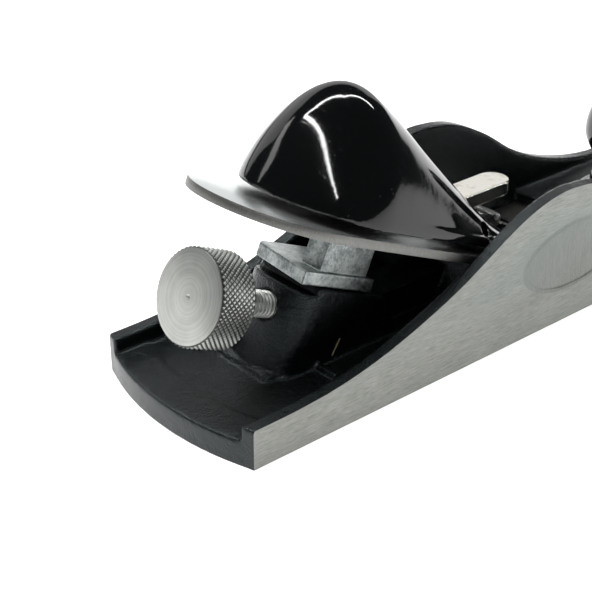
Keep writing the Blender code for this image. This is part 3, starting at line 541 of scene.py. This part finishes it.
def enamel_finish():
    """Deep gloss black over a fine casting, with dust and hairline wipes."""
    f = Finish("gloss_enamel")
    swell = f.noise(160.0, 2.0, 0.4)
    peel = f.noise(1100.0, 2.0, 0.5)
    wipes = f.step(f.noise(2600.0, 2.0, 0.5, (1.0, 0.06, 0.25)), 0.66, 0.76)
    specks = f.step(f.cells(700.0), 0.09, 0.05) * f.step(f.noise(90.0), 0.48, 0.60)
    marks = f.most(wipes * 0.10, specks * 0.30)
    colour = f.mix(marks, (0.0030, 0.0034, 0.0036, 1.0), (0.10, 0.10, 0.10, 1.0))
    bumps = f.bump(peel, 0.000004, f.bump(swell, 0.00004))
    return f.lay(
        base_color=colour,
        roughness=peel * 0.03 + wipes * 0.10 + 0.055,
        normal=f.bump(specks, 0.00002, bumps),
    )


def iron_finish():
    """Ground faces with cross lines, a duller milled edge and a honed bevel."""
    f = Finish("ground_iron")
    local = f.seen_from(bed_frame())
    up, side, height = f.split(local)
    _, _, facing_up = f.split(f.seen_from(bed_frame(), True))
    face = f.step(abs(facing_up), 0.86, 0.95)
    lines = brushed(f, 0, 7000.0, local)
    mill = f.noise(5200.0, 3.0, 0.6, (1.0, 1.0, 0.3), local)
    stain = f.noise(110.0, 3.0)
    honed = f.step(up, 0.0062, 0.0055)
    flat = f.mix(lines * 0.6 + stain * 0.4, (0.76, 0.80, 0.79, 1.0), (0.97, 1.0, 0.99, 1.0))
    rim = f.mix(mill, (0.10, 0.10, 0.095, 1.0), (0.30, 0.30, 0.285, 1.0))
    return f.lay(
        base_color=f.mix(face, rim, flat),
        metallic=1.0,
        roughness=f.blend(face, mill * 0.2 + 0.36, lines * 0.12 + 0.24 - honed * 0.06),
        normal=f.bump(f.blend(face, mill, lines * 0.25), 0.00002),
    )


def turned_finish(name, frame_place, low, high, dark, light, painted_shade_radii=None):
    """Lathe turned steel, ringed round a local Z axis. Painted shade darkens it between two radii,
    at the knurl's root.
    """
    f = Finish(name)
    local = f.seen_from(frame_place)
    x, y, z = f.split(local)
    reach = f.math("SQRT", x * x + y * y)
    spread = f.node("ShaderNodeCombineXYZ", None, {"X": reach, "Y": z})
    rings = f.noise(6500.0, 3.0, 0.6, None, spread.outputs[0]) * 0.6
    rings = rings + f.noise(1700.0, 2.0, 0.5, None, spread.outputs[0]) * 0.4
    stain = f.noise(140.0, 3.0)
    handled = f.noise(2400.0, 3.0)
    colour = f.mix(f.step(rings * 0.7 + stain * 0.3, 0.34, 0.66), dark, light)
    if painted_shade_radii:
        inner, outer = painted_shade_radii
        painted_shade = f.step(reach, outer, inner) * f.step(reach, inner - 0.0002, inner - 0.0001)
        # painted shade: near-black colour laid in the knurl's root between the diamonds, where
        # shade falls
        colour = f.mix(painted_shade * 0.85, colour, (0.03, 0.03, 0.028, 1.0))
    return f.lay(
        base_color=colour,
        metallic=1.0,
        roughness=rings * (high - low) + handled * 0.06 + low,
        normal=f.bump(rings, 0.000016),
    )


def zinc_finish():
    """Die cast metal, cool grey, pitted and dulled in its hollows."""
    f = Finish("die_cast_zinc")
    cloud = f.noise(260.0, 4.0, 0.6)
    skin = f.noise(1500.0, 4.0, 0.6)
    pits = f.step(f.cells(900.0), 0.22, 0.08) * f.step(cloud, 0.42, 0.58)
    pins = f.step(f.cells(2400.0), 0.24, 0.12) * f.step(skin, 0.45, 0.60)
    worn = f.step(cloud * 0.6 + skin * 0.4, 0.30, 0.70)
    colour = f.mix(worn, (0.10, 0.115, 0.115, 1.0), (0.56, 0.60, 0.59, 1.0))
    colour = f.mix(f.most(pits, pins) * 0.7, colour, (0.05, 0.055, 0.055, 1.0))
    height = skin * 0.5 - pits - pins * 0.5
    return f.lay(
        base_color=colour,
        metallic=1.0,
        roughness=skin * 0.22 + pits * 0.2 + 0.26,
        normal=f.bump(height, 0.00009),
    )


def nickel_finish():
    """Warm bright plate over a rough stamping."""
    f = Finish("nickel_plate")
    ripple = f.noise(420.0, 3.0, 0.5)
    grain = f.noise(2600.0, 3.0, 0.6)
    tarnish = f.step(f.noise(330.0, 4.0, 0.6), 0.50, 0.68)
    colour = f.mix(tarnish * 0.35, (0.95, 0.92, 0.84, 1.0), (0.50, 0.44, 0.32, 1.0))
    return f.lay(
        base_color=colour,
        metallic=1.0,
        roughness=grain * 0.06 + tarnish * 0.08 + 0.04,
        normal=f.bump(grain, 0.000006, f.bump(ripple, 0.00006)),
    )


def lacquer_finish():
    """Smooth black lacquer over turned hardwood, with faint grain and rub marks."""
    f = Finish("black_lacquer")
    grain = f.noise(1400.0, 3.0, 0.6, (1.0, 1.0, 0.05))
    rub = f.step(f.noise(900.0, 3.0, 0.5, (0.2, 0.2, 1.0)), 0.60, 0.75)
    colour = f.mix(rub * 0.12 + grain * 0.05, (0.004, 0.004, 0.005, 1.0), grey(0.07))
    return f.lay(
        base_color=colour,
        roughness=grain * 0.05 + rub * 0.08 + 0.07,
        normal=f.bump(grain, 0.000006),
    )


def plate_finish():
    """The throat plate: ground underneath, plain milled above."""
    f = Finish("milled_plate")
    lines = brushed(f, 0)
    cross = brushed(f, 1, 5000.0)
    _, _, facing_up = f.split(f.facing)
    under = f.step(-facing_up, 0.8, 0.9)
    stain = f.noise(150.0, 4.0)
    worked = f.blend(under, cross, lines)
    colour = f.mix(
        worked * 0.6 + stain * 0.4, (0.20, 0.205, 0.195, 1.0), (0.46, 0.465, 0.44, 1.0)
    )
    return f.lay(
        base_color=colour,
        metallic=1.0,
        roughness=worked * 0.2 + 0.26,
        normal=f.bump(worked, 0.00001),
    )


# ---------------------------------------------------------------- the pieces

JAPAN = casting_finish()
ENAMEL = enamel_finish()
TURNED = turned_finish(
    "turned_steel",
    SPINDLE_FRAME,
    0.26,
    0.44,
    (0.34, 0.35, 0.33, 1.0),
    (0.56, 0.57, 0.54, 1.0),
    # radii of the painted shade in the knurl's root
    (0.01018, 0.01036),
)
PLAIN_STEEL = turned_finish(
    "bright_steel",
    Matrix.Translation(STUD),
    0.16,
    0.34,
    (0.34, 0.34, 0.33, 1.0),
    (0.60, 0.60, 0.58, 1.0),
)


def make_casting():
    """The body: a softened casting, cut back to crisp ground cheeks and sole."""
    body = copy_of("body_casting", "casting")
    low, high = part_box("body_casting")
    spare = 0.0006

    def swell(shape):
        for corner in shape.verts:
            if abs(corner.co.y) > BODY_HALF - 0.00002:
                corner.co.y += math.copysign(spare, corner.co.y)
            if corner.co.z < 0.00002:
                corner.co.z -= spare

    cast(edit(body, swell), 0.00046, 5)
    ground = block("ground", low, high, Matrix())
    boolean(body, ground, "INTERSECT")
    finish_piece(shade(body, 50), "body", "black_japan", JAPAN, "body_casting")


IRON_TOP = 0.0020
CAP_BASE = 0.0038
CAP_PLATE = 0.0025
CAP_NOSE = 0.0085
CAP_PLATE_REAR = 0.0740
CAP_HALF = 0.0200
HOOD_REAR = 0.1030
HOOD_WALL = 0.0025
HOOD_RIDGE = (
    (0.0000, 0.0000),
    (0.0012, 0.0042),
    (0.0034, 0.0110),
    (0.0071, 0.0189),
    (0.0118, 0.0246),
    (0.0172, 0.0260),
    (0.0245, 0.0236),
    (0.0370, 0.0178),
    (0.0500, 0.0116),
    (0.0600, 0.0068),
    (0.0700, 0.0034),
)
HOOD_TAPER_START = 0.022
HOOD_TAPER = 0.0020
WIDE_POWER = 1.93
CROWN_POWER = 1.60
SCREW_AT = 0.0310
SCREW_RADIUS = 0.0025
SCREW_HEAD_RADIUS = 0.0052
CAP_REMOVAL = 0.0090
CAM_UP = 0.0486
CAM_RADIUS = 0.0039
LEVER_SLOT_HALF = 0.0052
CAM_PIN_RADIUS = 0.0015


def curve_through(points, steps):
    """A smooth curve through points with rising x."""
    slopes = []
    for index in range(len(points)):
        before, after = points[max(index - 1, 0)], points[min(index + 1, len(points) - 1)]
        slopes.append((after[1] - before[1]) / (after[0] - before[0]))
    path = []
    for index, ((x0, y0), (x1, y1)) in enumerate(zip(points, points[1:])):
        span = x1 - x0
        for step in range(steps):
            t = step / steps
            rise = (2 * t**3 - 3 * t**2 + 1) * y0 + (3 * t**2 - 2 * t**3) * y1
            lean = (t**3 - 2 * t**2 + t) * slopes[index] + (t**3 - t**2) * slopes[index + 1]
            path.append((x0 + span * t, rise + lean * span))
    return path + [points[-1]]


def hood_half_width(along):
    if along < CAP_HALF:
        return math.sqrt(max(CAP_HALF**2 - (CAP_HALF - along) ** 2, 0.0))
    share = max(along - HOOD_TAPER_START, 0.0) / (HOOD_RIDGE[-1][0] - HOOD_TAPER_START)
    return CAP_HALF - HOOD_TAPER * share**1.5


def hood(name, inset, across=80, steps=12):
    """The palm hood as a closed loft of domed sections, or its hollow when drawn in by a wall."""
    sunk = 0.002 if inset else 0.0
    rings = []
    for along, height in curve_through(HOOD_RIDGE, steps)[1:]:
        half = hood_half_width(along) - inset
        tall = height - inset + sunk
        inside = inset * 1.15 < along < HOOD_RIDGE[-1][0] - inset
        if not inside or half < 0.0006 or tall < 0.0003:
            continue
        ring = []
        for step in range(across + 1):
            turn = math.pi * step / across
            wide = math.copysign(abs(math.cos(turn)) ** (2 / WIDE_POWER), math.cos(turn))
            crown = abs(math.sin(turn)) ** (2 / CROWN_POWER)
            ring.append((HOOD_REAR - along, half * wide, CAP_BASE - sunk + tall * crown))
        rings.append(ring)
    mesh = bpy.data.meshes.new(name)
    count = across + 1
    faces = []
    for row in range(len(rings) - 1):
        for step in range(across):
            at, after = row * count + step, (row + 1) * count + step
            faces.append((at, at + 1, after + 1, after))
        after = (row + 1) * count
        faces.append((row * count, after, after + count - 1, after - 1))
    faces += [tuple(range(count)), tuple(range((len(rings) - 1) * count, len(rings) * count))]
    mesh.from_pydata([point for ring in rings for point in ring], [], faces)
    return edit(piece(name, mesh), face_out)


def keyhole(rear, front, radius):
    """A round ended slot along the bed, from one centre to another."""
    return arc((rear, 0.0), radius, -90, 90, 20) + arc((front, 0.0), radius, 90, 270, 20)


def rod(name, radius, low, high, place, steps=48):
    return spun(name, [(0.0, high), (radius, high), (radius, low), (0.0, low)], place, steps)


def make_lever_cap():
    """The keyholed plate and its hollow hood, joined, then softened as one casting."""
    bed = bed_frame()
    flat = Matrix()
    sideways = Matrix.Rotation(math.pi / 2, 4, "X")
    top = CAP_BASE + CAP_PLATE
    cap = hood("enamelled_cap", 0.0)
    side = CAP_HALF - 0.0004
    plate = block("plate", (CAP_NOSE, -side, CAP_BASE), (CAP_PLATE_REAR, side, top), flat)
    toe = IRON_TOP + 0.0003
    nose = [(CAP_NOSE, toe), (CAP_NOSE + 0.0035, toe), (CAP_NOSE + 0.0035, top - 0.0005)]
    nose += [(CAP_NOSE + 0.0015, top - 0.0005), (CAP_NOSE, toe + 0.0008)]
    join(cap, plate, slab("nose", nose, 0.0002 - side, side - 0.0002, sideways))
    trim = [
        (CAP_NOSE - 0.001, top - 0.003),
        (CAP_NOSE + 0.0035, top + 0.001),
        (CAP_NOSE - 0.001, top + 0.001),
    ]
    low, head = CAP_BASE - 0.003, SCREW_HEAD_RADIUS + 0.0004
    front = SCREW_AT - CAP_REMOVAL
    lever_floor = CAM_PIVOT_HEIGHT + 0.0010
    cam_front, cam_rear = CAM_UP - CAM_RADIUS - 0.0030, CAM_UP + CAM_RADIUS + 0.0030
    way = [(SCREW_AT - 0.012, lever_floor), (cam_front, lever_floor), (cam_front, -0.001)]
    way += [(cam_rear, -0.001), (cam_rear, 0.03), (SCREW_AT - 0.012, 0.03)]
    pin = Matrix.Translation(bed.inverted() @ CAM_PIVOT) @ sideways
    cut(
        cap,
        slab("trim", trim, -CAP_HALF - 0.001, CAP_HALF + 0.001, sideways),
        hood("hollow", HOOD_WALL),
        slab("keyhole", keyhole(SCREW_AT, front, SCREW_RADIUS + 0.0004), low, top + 0.001, flat),
        rod("eye", head, low, 0.03, Matrix.Translation((front, 0.0, 0.0))),
        slab("head_room", keyhole(SCREW_AT, front, head), top, 0.03, flat),
        slab("lever_slot", way, -LEVER_SLOT_HALF, LEVER_SLOT_HALF, sideways),
        rod("pin_bore", CAM_PIN_RADIUS + 0.0002, -0.03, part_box("cam_pin")[1].y + 0.0003, pin),
    )
    move(cast(cap, 0.00038, 7), bed)
    finish_piece(shade(cap, 50), "lever_cap", "cap_enamel", ENAMEL, "lever_cap")


CAM_PIVOT_HEIGHT = (CAM_PIVOT - BED_FOOT).dot(SQUARE)

IRON_LOW = 0.0010
IRON_TAIL = 0.1162
IRON_HALF = 0.0205


def make_iron():
    """Half-round tail, honed bevel up, keyed slot and the row of grooves underneath."""
    bed = bed_frame()
    sideways = Matrix.Rotation(math.pi / 2, 4, "X")
    outline = [(IRON_LOW, -IRON_HALF)]
    outline += arc((IRON_TAIL - IRON_HALF, 0.0), IRON_HALF, -90, 90, 96) + [(IRON_LOW, IRON_HALF)]
    iron = slab("ground_iron", outline, 0.0, IRON_TOP, Matrix())
    run = IRON_TOP / math.tan(math.radians(25.0))
    wedge = [
        (IRON_LOW - 0.0005, 0.00015 - 0.0005 * math.tan(math.radians(25.0))),
        (IRON_LOW + run * 1.5, IRON_TOP * 1.5 + 0.00015),
        (IRON_LOW - 0.0005, IRON_TOP * 1.5 + 0.00015),
    ]
    cut(
        iron,
        slab("honing", wedge, -IRON_HALF - 0.01, IRON_HALF + 0.01, sideways),
        slab("slot", keyhole(0.0343, 0.0277, 0.0057), -0.001, 0.004, Matrix()),
    )
    for index in range(11):
        start = 0.0700 + index * 0.0024
        low, high = (start, -0.0110, -0.001), (start + 0.0014, 0.0110, 0.0008)
        cut(iron, block("groove", low, high, Matrix()))
    move(ease(iron, 0.00014, 2, 30), bed)
    finish_piece(shade(iron, 35), "iron", "ground_steel", iron_finish(), "iron")


WHEEL_REAR = 0.1131
WHEEL_FRONT = 0.1037
WHEEL_RADIUS = 0.0105
WHEEL_CHAMFER = 0.0006
KNURL_DEPTH = 0.00034
KNURL_ROUND = 54
SPINDLE_RADIUS = 0.0030


def knurl(finish):
    """A diamond knurl: pointed diamonds round a drum, each row half a diamond on from the last."""
    width = WHEEL_REAR - WHEEL_FRONT - 1.5 * WHEEL_CHAMFER
    diamond = 2 * math.pi * WHEEL_RADIUS / KNURL_ROUND
    rows = round(width / (diamond / 2)) - 1
    inputs = {
        "Radius": WHEEL_RADIUS - KNURL_DEPTH,
        "Depth": KNURL_DEPTH,
        "Start": WHEEL_FRONT + 0.75 * WHEEL_CHAMFER + width / (2 * rows),
        "Row pitch": width / rows,
        "Diamond": diamond,
        "Around": KNURL_ROUND,
        "Rows": rows,
        "Finish": finish,
    }
    making = Making("diamond_knurl", inputs)
    size = making.size
    around, radius = size("Around"), size("Radius")
    place = making.wire(making.node("GeometryNodeInputIndex").outputs[0])
    row = making.math("FLOOR", (place + 0.5) / around)
    column = place - row * around + (row % 2) * 0.5
    turn = column / around * (2 * math.pi)
    spot = making.node(
        "ShaderNodeCombineXYZ",
        None,
        {
            "X": making.math("COSINE", turn) * radius,
            "Y": making.math("SINE", turn) * radius,
            "Z": size("Start") + row * size("Row pitch"),
        },
    )
    lean = making.node("ShaderNodeCombineXYZ", None, {"Y": math.pi / 2, "Z": turn})
    points = making.node(
        "GeometryNodePoints", None, {"Count": around * size("Rows"), "Position": spot.outputs[0]}
    )
    cone = making.node(
        "GeometryNodeMeshCone",
        None,
        {
            "Vertices": 4,
            "Radius Top": size("Diamond") * 0.07,
            "Radius Bottom": size("Diamond") * 0.5,
            "Depth": size("Depth"),
        },
    )
    spread = making.node(
        "GeometryNodeInstanceOnPoints",
        None,
        {"Points": points.outputs[0], "Instance": cone.outputs[0], "Rotation": lean.outputs[0]},
    )
    return making.grow("wheel_knurl", spread.outputs[0])


def gather(made, *others):
    """Puts other pieces' faces into one piece, as they are."""
    shape = bmesh.new()
    for source in (made, *others):
        shape.from_mesh(source.data)
    shape.to_mesh(made.data)
    shape.free()
    for other in others:
        bpy.data.objects.remove(other, do_unlink=True)
    return made


def make_wheel():
    """The depth wheel: a turned drum, chamfered, with a knurled rim and a centre pip."""
    core = WHEEL_RADIUS - KNURL_DEPTH
    edge = 0.00045
    rear, front, bore = WHEEL_REAR, WHEEL_FRONT, SPINDLE_RADIUS + 0.0003
    bottom = rear - 0.0009
    profile = [
        (0.0, rear - 0.00035),
        (0.00035, rear - 0.0001),
        (0.00055, rear),
        (core - edge, rear),
        (core - edge * 0.4, rear - edge * 0.15),
        (core + 0.00005, rear - edge),
        (core, rear - edge * 1.4),
        (core, front + edge * 1.4),
        (core + 0.00005, front + edge),
        (core - edge * 0.4, front + edge * 0.15),
        (core - edge, front),
        (bore + 0.0004, front),
        (bore, front + 0.0004),
        (bore, bottom),
        (0.0, bottom),
    ]
    wheel = shade(spun("knurled_wheel", profile, Matrix(), 128), 25)
    gather(wheel, knurl(TURNED))
    finish_piece(move(wheel, SPINDLE_FRAME), "depth_screw", "bright_steel", TURNED, "depth_wheel")


def thread(low, high, root, crest, pitch, steps=48):
    """A screw thread: one ridge with a narrow crest, wound round a core."""
    section = ((root - 0.0002, -0.44), (crest, -0.07), (crest, 0.07), (root - 0.0002, 0.44))
    shape = bmesh.new()
    rings = []
    for step in range(int((high - low) / pitch * steps) + 1):
        turn = 2 * math.pi * step / steps
        height = low + pitch * step / steps
        rings.append(
            [
                shape.verts.new(
                    (reach * math.cos(turn), reach * math.sin(turn), height + rise * pitch)
                )
                for reach, rise in section
            ]
        )
    for first, second in zip(rings, rings[1:]):
        for side in range(4):
            after = (side + 1) % 4
            shape.faces.new((first[side], second[side], second[after], first[after]))
    shape.faces.new(rings[0])
    shape.faces.new(rings[-1][::-1])
    mesh = bpy.data.meshes.new("spindle_thread")
    shape.to_mesh(mesh)
    shape.free()
    return edit(piece("spindle_thread", mesh), face_out)


def make_feed_screw():
    """The spindle: threaded behind its neck, plain in the boss."""
    pitch = 0.0010
    end, tip, neck_low, neck_high = 0.1119, 0.0745, 0.0774, 0.0802
    root = SPINDLE_RADIUS - pitch * 0.45
    start = neck_high + 0.0020
    profile = [
        (0.0, end),
        (root, end),
        (root, start),
        (SPINDLE_RADIUS, start - 0.0003),
        (SPINDLE_RADIUS, neck_high),
        (0.0018, neck_high),
        (0.0018, neck_low),
        (SPINDLE_RADIUS, neck_low),
        (SPINDLE_RADIUS, tip + 0.0004),
        (SPINDLE_RADIUS - 0.0004, tip),
        (0.0, tip),
    ]
    screw = spun("feed_screw", profile, Matrix(), 64)
    gather(screw, thread(start + 0.0005, end - 0.0008, root, SPINDLE_RADIUS, pitch))
    move(shade(screw, 35), SPINDLE_FRAME)
    finish_piece(screw, "depth_screw", "bright_steel", TURNED, "depth_spindle")


def make_slide():
    slide = shade(cast(copy_of("adjuster_slide", "zinc_slide"), 0.00018, 4, bed_frame()), 60)
    finish_piece(slide, "adjuster", "cast_zinc", zinc_finish(), "adjuster_slide")


def make_cam_lever():
    lever = shade(cast(copy_of("cam_lever", "plated_lever"), 0.00014, 20), 60)
    finish_piece(lever, "cam_lever", "chrome", nickel_finish(), "cam_lever")


def make_knob():
    """The front knob, turned to a smooth waist and crown."""
    low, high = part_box("front_knob")
    widest, waist = 0.0260, 0.0150
    profile = [(0.0, high.z)]
    crown = high.z - widest
    profile += [(0.0120 * x, widest + crown * y) for x, y in arc((0.0, 0.0), 1.0, 87, 0, 32)]
    for step in range(1, 25):
        t = step / 24
        radius = 0.0078 + 0.0042 * (1 + math.cos(math.pi * t)) / 2
        profile.append((radius, widest + (waist - widest) * t))
    foot = low.z + 0.0018
    for t in (0.25, 0.5, 0.75, 1.0):
        profile.append((0.0095 - 0.0017 * (1 - t) ** 2, foot + (waist - foot) * (1 - t)))
    profile += [(0.0095, low.z + 0.0004), (0.0091, low.z)]
    profile += [(0.0036, low.z), (0.0033, low.z + 0.0003)]
    profile += [(0.0033, 0.0300), (0.0029, 0.0304), (0.0, 0.0304)]
    knob = spun("lacquered_knob", profile, Matrix.Translation((STUD.x, 0.0, 0.0)), 128)
    finish_piece(shade(knob, 35), "front_knob", "black_lacquer", lacquer_finish(), "front_knob")


def make_small_parts():
    """Pins, screws, the throat's lever and its plate, with their edges broken."""
    bed = bed_frame()
    for node, name, body, slot, finish, grid, place in (
        ("cap_screw", "slotted_screw", "body", "bright_steel", PLAIN_STEEL, 0.00016, bed),
        ("cam_pin", "cam_pivot_pin", "lever_cap", "bright_steel", PLAIN_STEEL, 0.00016, Matrix()),
        ("eccentric_pin", "throat_pin", "body", "bright_steel", PLAIN_STEEL, 0.00010, Matrix()),
        ("knob_stud", "stud", "throat", "bright_steel", PLAIN_STEEL, 0.00018, Matrix()),
        ("knob_washer", "washer", "throat", "bright_steel", PLAIN_STEEL, 0.00014, Matrix()),
        (
            "eccentric_lever",
            "throat_lever",
            "eccentric_lever",
            "bright_steel",
            PLAIN_STEEL,
            0.00018,
            Matrix(),
        ),
    ):
        made = cast(copy_of(node, name), grid, 3, place)
        finish_piece(shade(made, 50), body, slot, finish, node)
    plate = ease(copy_of("throat_plate", "sole_plate"), 0.00018)
    finish_piece(shade(plate, 35), "throat", "ground_steel", plate_finish(), "throat_plate")


# ---------------------------------------------------------------- the studio


def floor_finish():
    """Pale sweep that glows a little, so that it stays white under the lights."""
    f = Finish("pale_sweep")
    mottle = f.noise(6.0, 3.0)
    return f.lay(
        base_color=f.mix(mottle, grey(0.80), grey(0.84)),
        roughness=0.9,
        specular_ior_level=0.2,
        emission_color=f.mix(mottle, grey(0.97), grey(1.0)),
        emission_strength=0.85,
    )


def softbox(name, middle, aim, width, height, power):
    light = bpy.data.lights.new(name, "AREA")
    light.shape = "RECTANGLE"
    light.size = width
    light.size_y = height
    light.energy = power
    lamp = bpy.data.objects.new(name, light)
    bpy.context.scene.collection.objects.link(lamp)
    middle = Vector(middle)
    turn = (Vector(aim) - middle).to_track_quat("-Z", "Y").to_matrix().to_4x4()
    lamp.matrix_world = Matrix.Translation(middle) @ turn
    return lamp


def strip_light(name, start, end, width, power, beads):
    """A long lamp between two points overhead, lit in beads along its length."""
    start, end = Vector(start), Vector(end)
    lamp = softbox(name, (0, 0, 1), (0, 0, 0), (end - start).length, width, power)
    along = (end - start).normalized()
    down = Vector((0.0, 0.0, 1.0)) - along * along.z
    down.normalize()
    turned = Matrix((along, down.cross(along), down)).transposed().to_4x4()
    lamp.matrix_world = Matrix.Translation((start + end) / 2) @ turned
    light = lamp.data
    light.use_nodes = True
    glow = Tree(light.node_tree)
    spot = glow.node("ShaderNodeNewGeometry").outputs["Parametric"]
    parts = glow.node("ShaderNodeSeparateXYZ", None, {"Vector": spot})
    beat = abs((glow.wire(parts.outputs["X"]) * beads) % 1.0 - 0.5)
    emission = light.node_tree.nodes["Emission"]
    glow.feed(emission.inputs["Strength"], glow.step(beat, 0.40, 0.25) * 1.8 + 0.20)
    return lamp


def make_studio():
    floor = slab("floor", [(-4, -4), (4, -4), (4, 4), (-4, 4)], -0.02, -0.0001, Matrix())
    floor.data.materials.append(floor_finish())
    world = bpy.data.worlds.new("studio")
    world.use_nodes = True
    background = world.node_tree.nodes["Background"]
    background.inputs["Color"].default_value = (0.85, 0.95, 1.0, 1.0)
    background.inputs["Strength"].default_value = 0.04
    bpy.context.scene.world = world
    strip_light("heel_strip", (-0.88, -1.50, 1.0), (-0.36, 1.05, 1.0), 0.055, 9.0, 70)
    strip_light("left_strip", (-0.36, 1.10, 1.0), (0.15, 0.28, 1.0), 0.075, 3.8, 30)
    strip_light("toe_strip", (0.15, 0.28, 1.0), (1.54, -0.05, 1.0), 0.055, 5.0, 40)
    softbox("left_panel", (-0.62, 1.75, 1.0), (0, 0, 0.03), 0.75, 0.16, 0.9)
    softbox("side_panel", (-0.89, 0.80, 0.16), (-0.06, 0.0, 0.03), 0.6, 0.3, 0.5)
    softbox("back_sweep", (0.80, 1.35, 0.50), (0, 0, 0.03), 2.6, 0.8, 5.0)
    bpy.context.scene.view_settings.view_transform = "Standard"


def make_camera():
    """A long lens, low behind the heel on the right-hand side."""
    turn, drop, roll = 0.860307, 0.498636, 0.001984
    ahead = Vector(
        (math.cos(turn) * math.cos(drop), math.sin(turn) * math.cos(drop), -math.sin(drop))
    )
    right = Vector((math.sin(turn), -math.cos(turn), 0.0))
    up = right.cross(ahead)
    leaned_right = right * math.cos(roll) + up * math.sin(roll)
    leaned_up = up * math.cos(roll) - right * math.sin(roll)
    camera = bpy.data.cameras.new("camera")
    camera.sensor_width = 36.0
    camera.lens = 84.675
    camera.shift_x = -0.0049
    camera.shift_y = -0.0004
    camera.clip_start = 0.01
    stand = bpy.data.objects.new("camera", camera)
    bpy.context.scene.collection.objects.link(stand)
    turned = Matrix((leaned_right, leaned_up, -ahead)).transposed().to_4x4()
    stand.matrix_world = Matrix.Translation((-0.22466, -0.20132, 0.16197)) @ turned
    bpy.context.scene.camera = stand


make_camera()
make_studio()
make_casting()
make_lever_cap()
make_iron()
make_wheel()
make_feed_screw()
make_slide()
make_cam_lever()
make_knob()
make_small_parts()
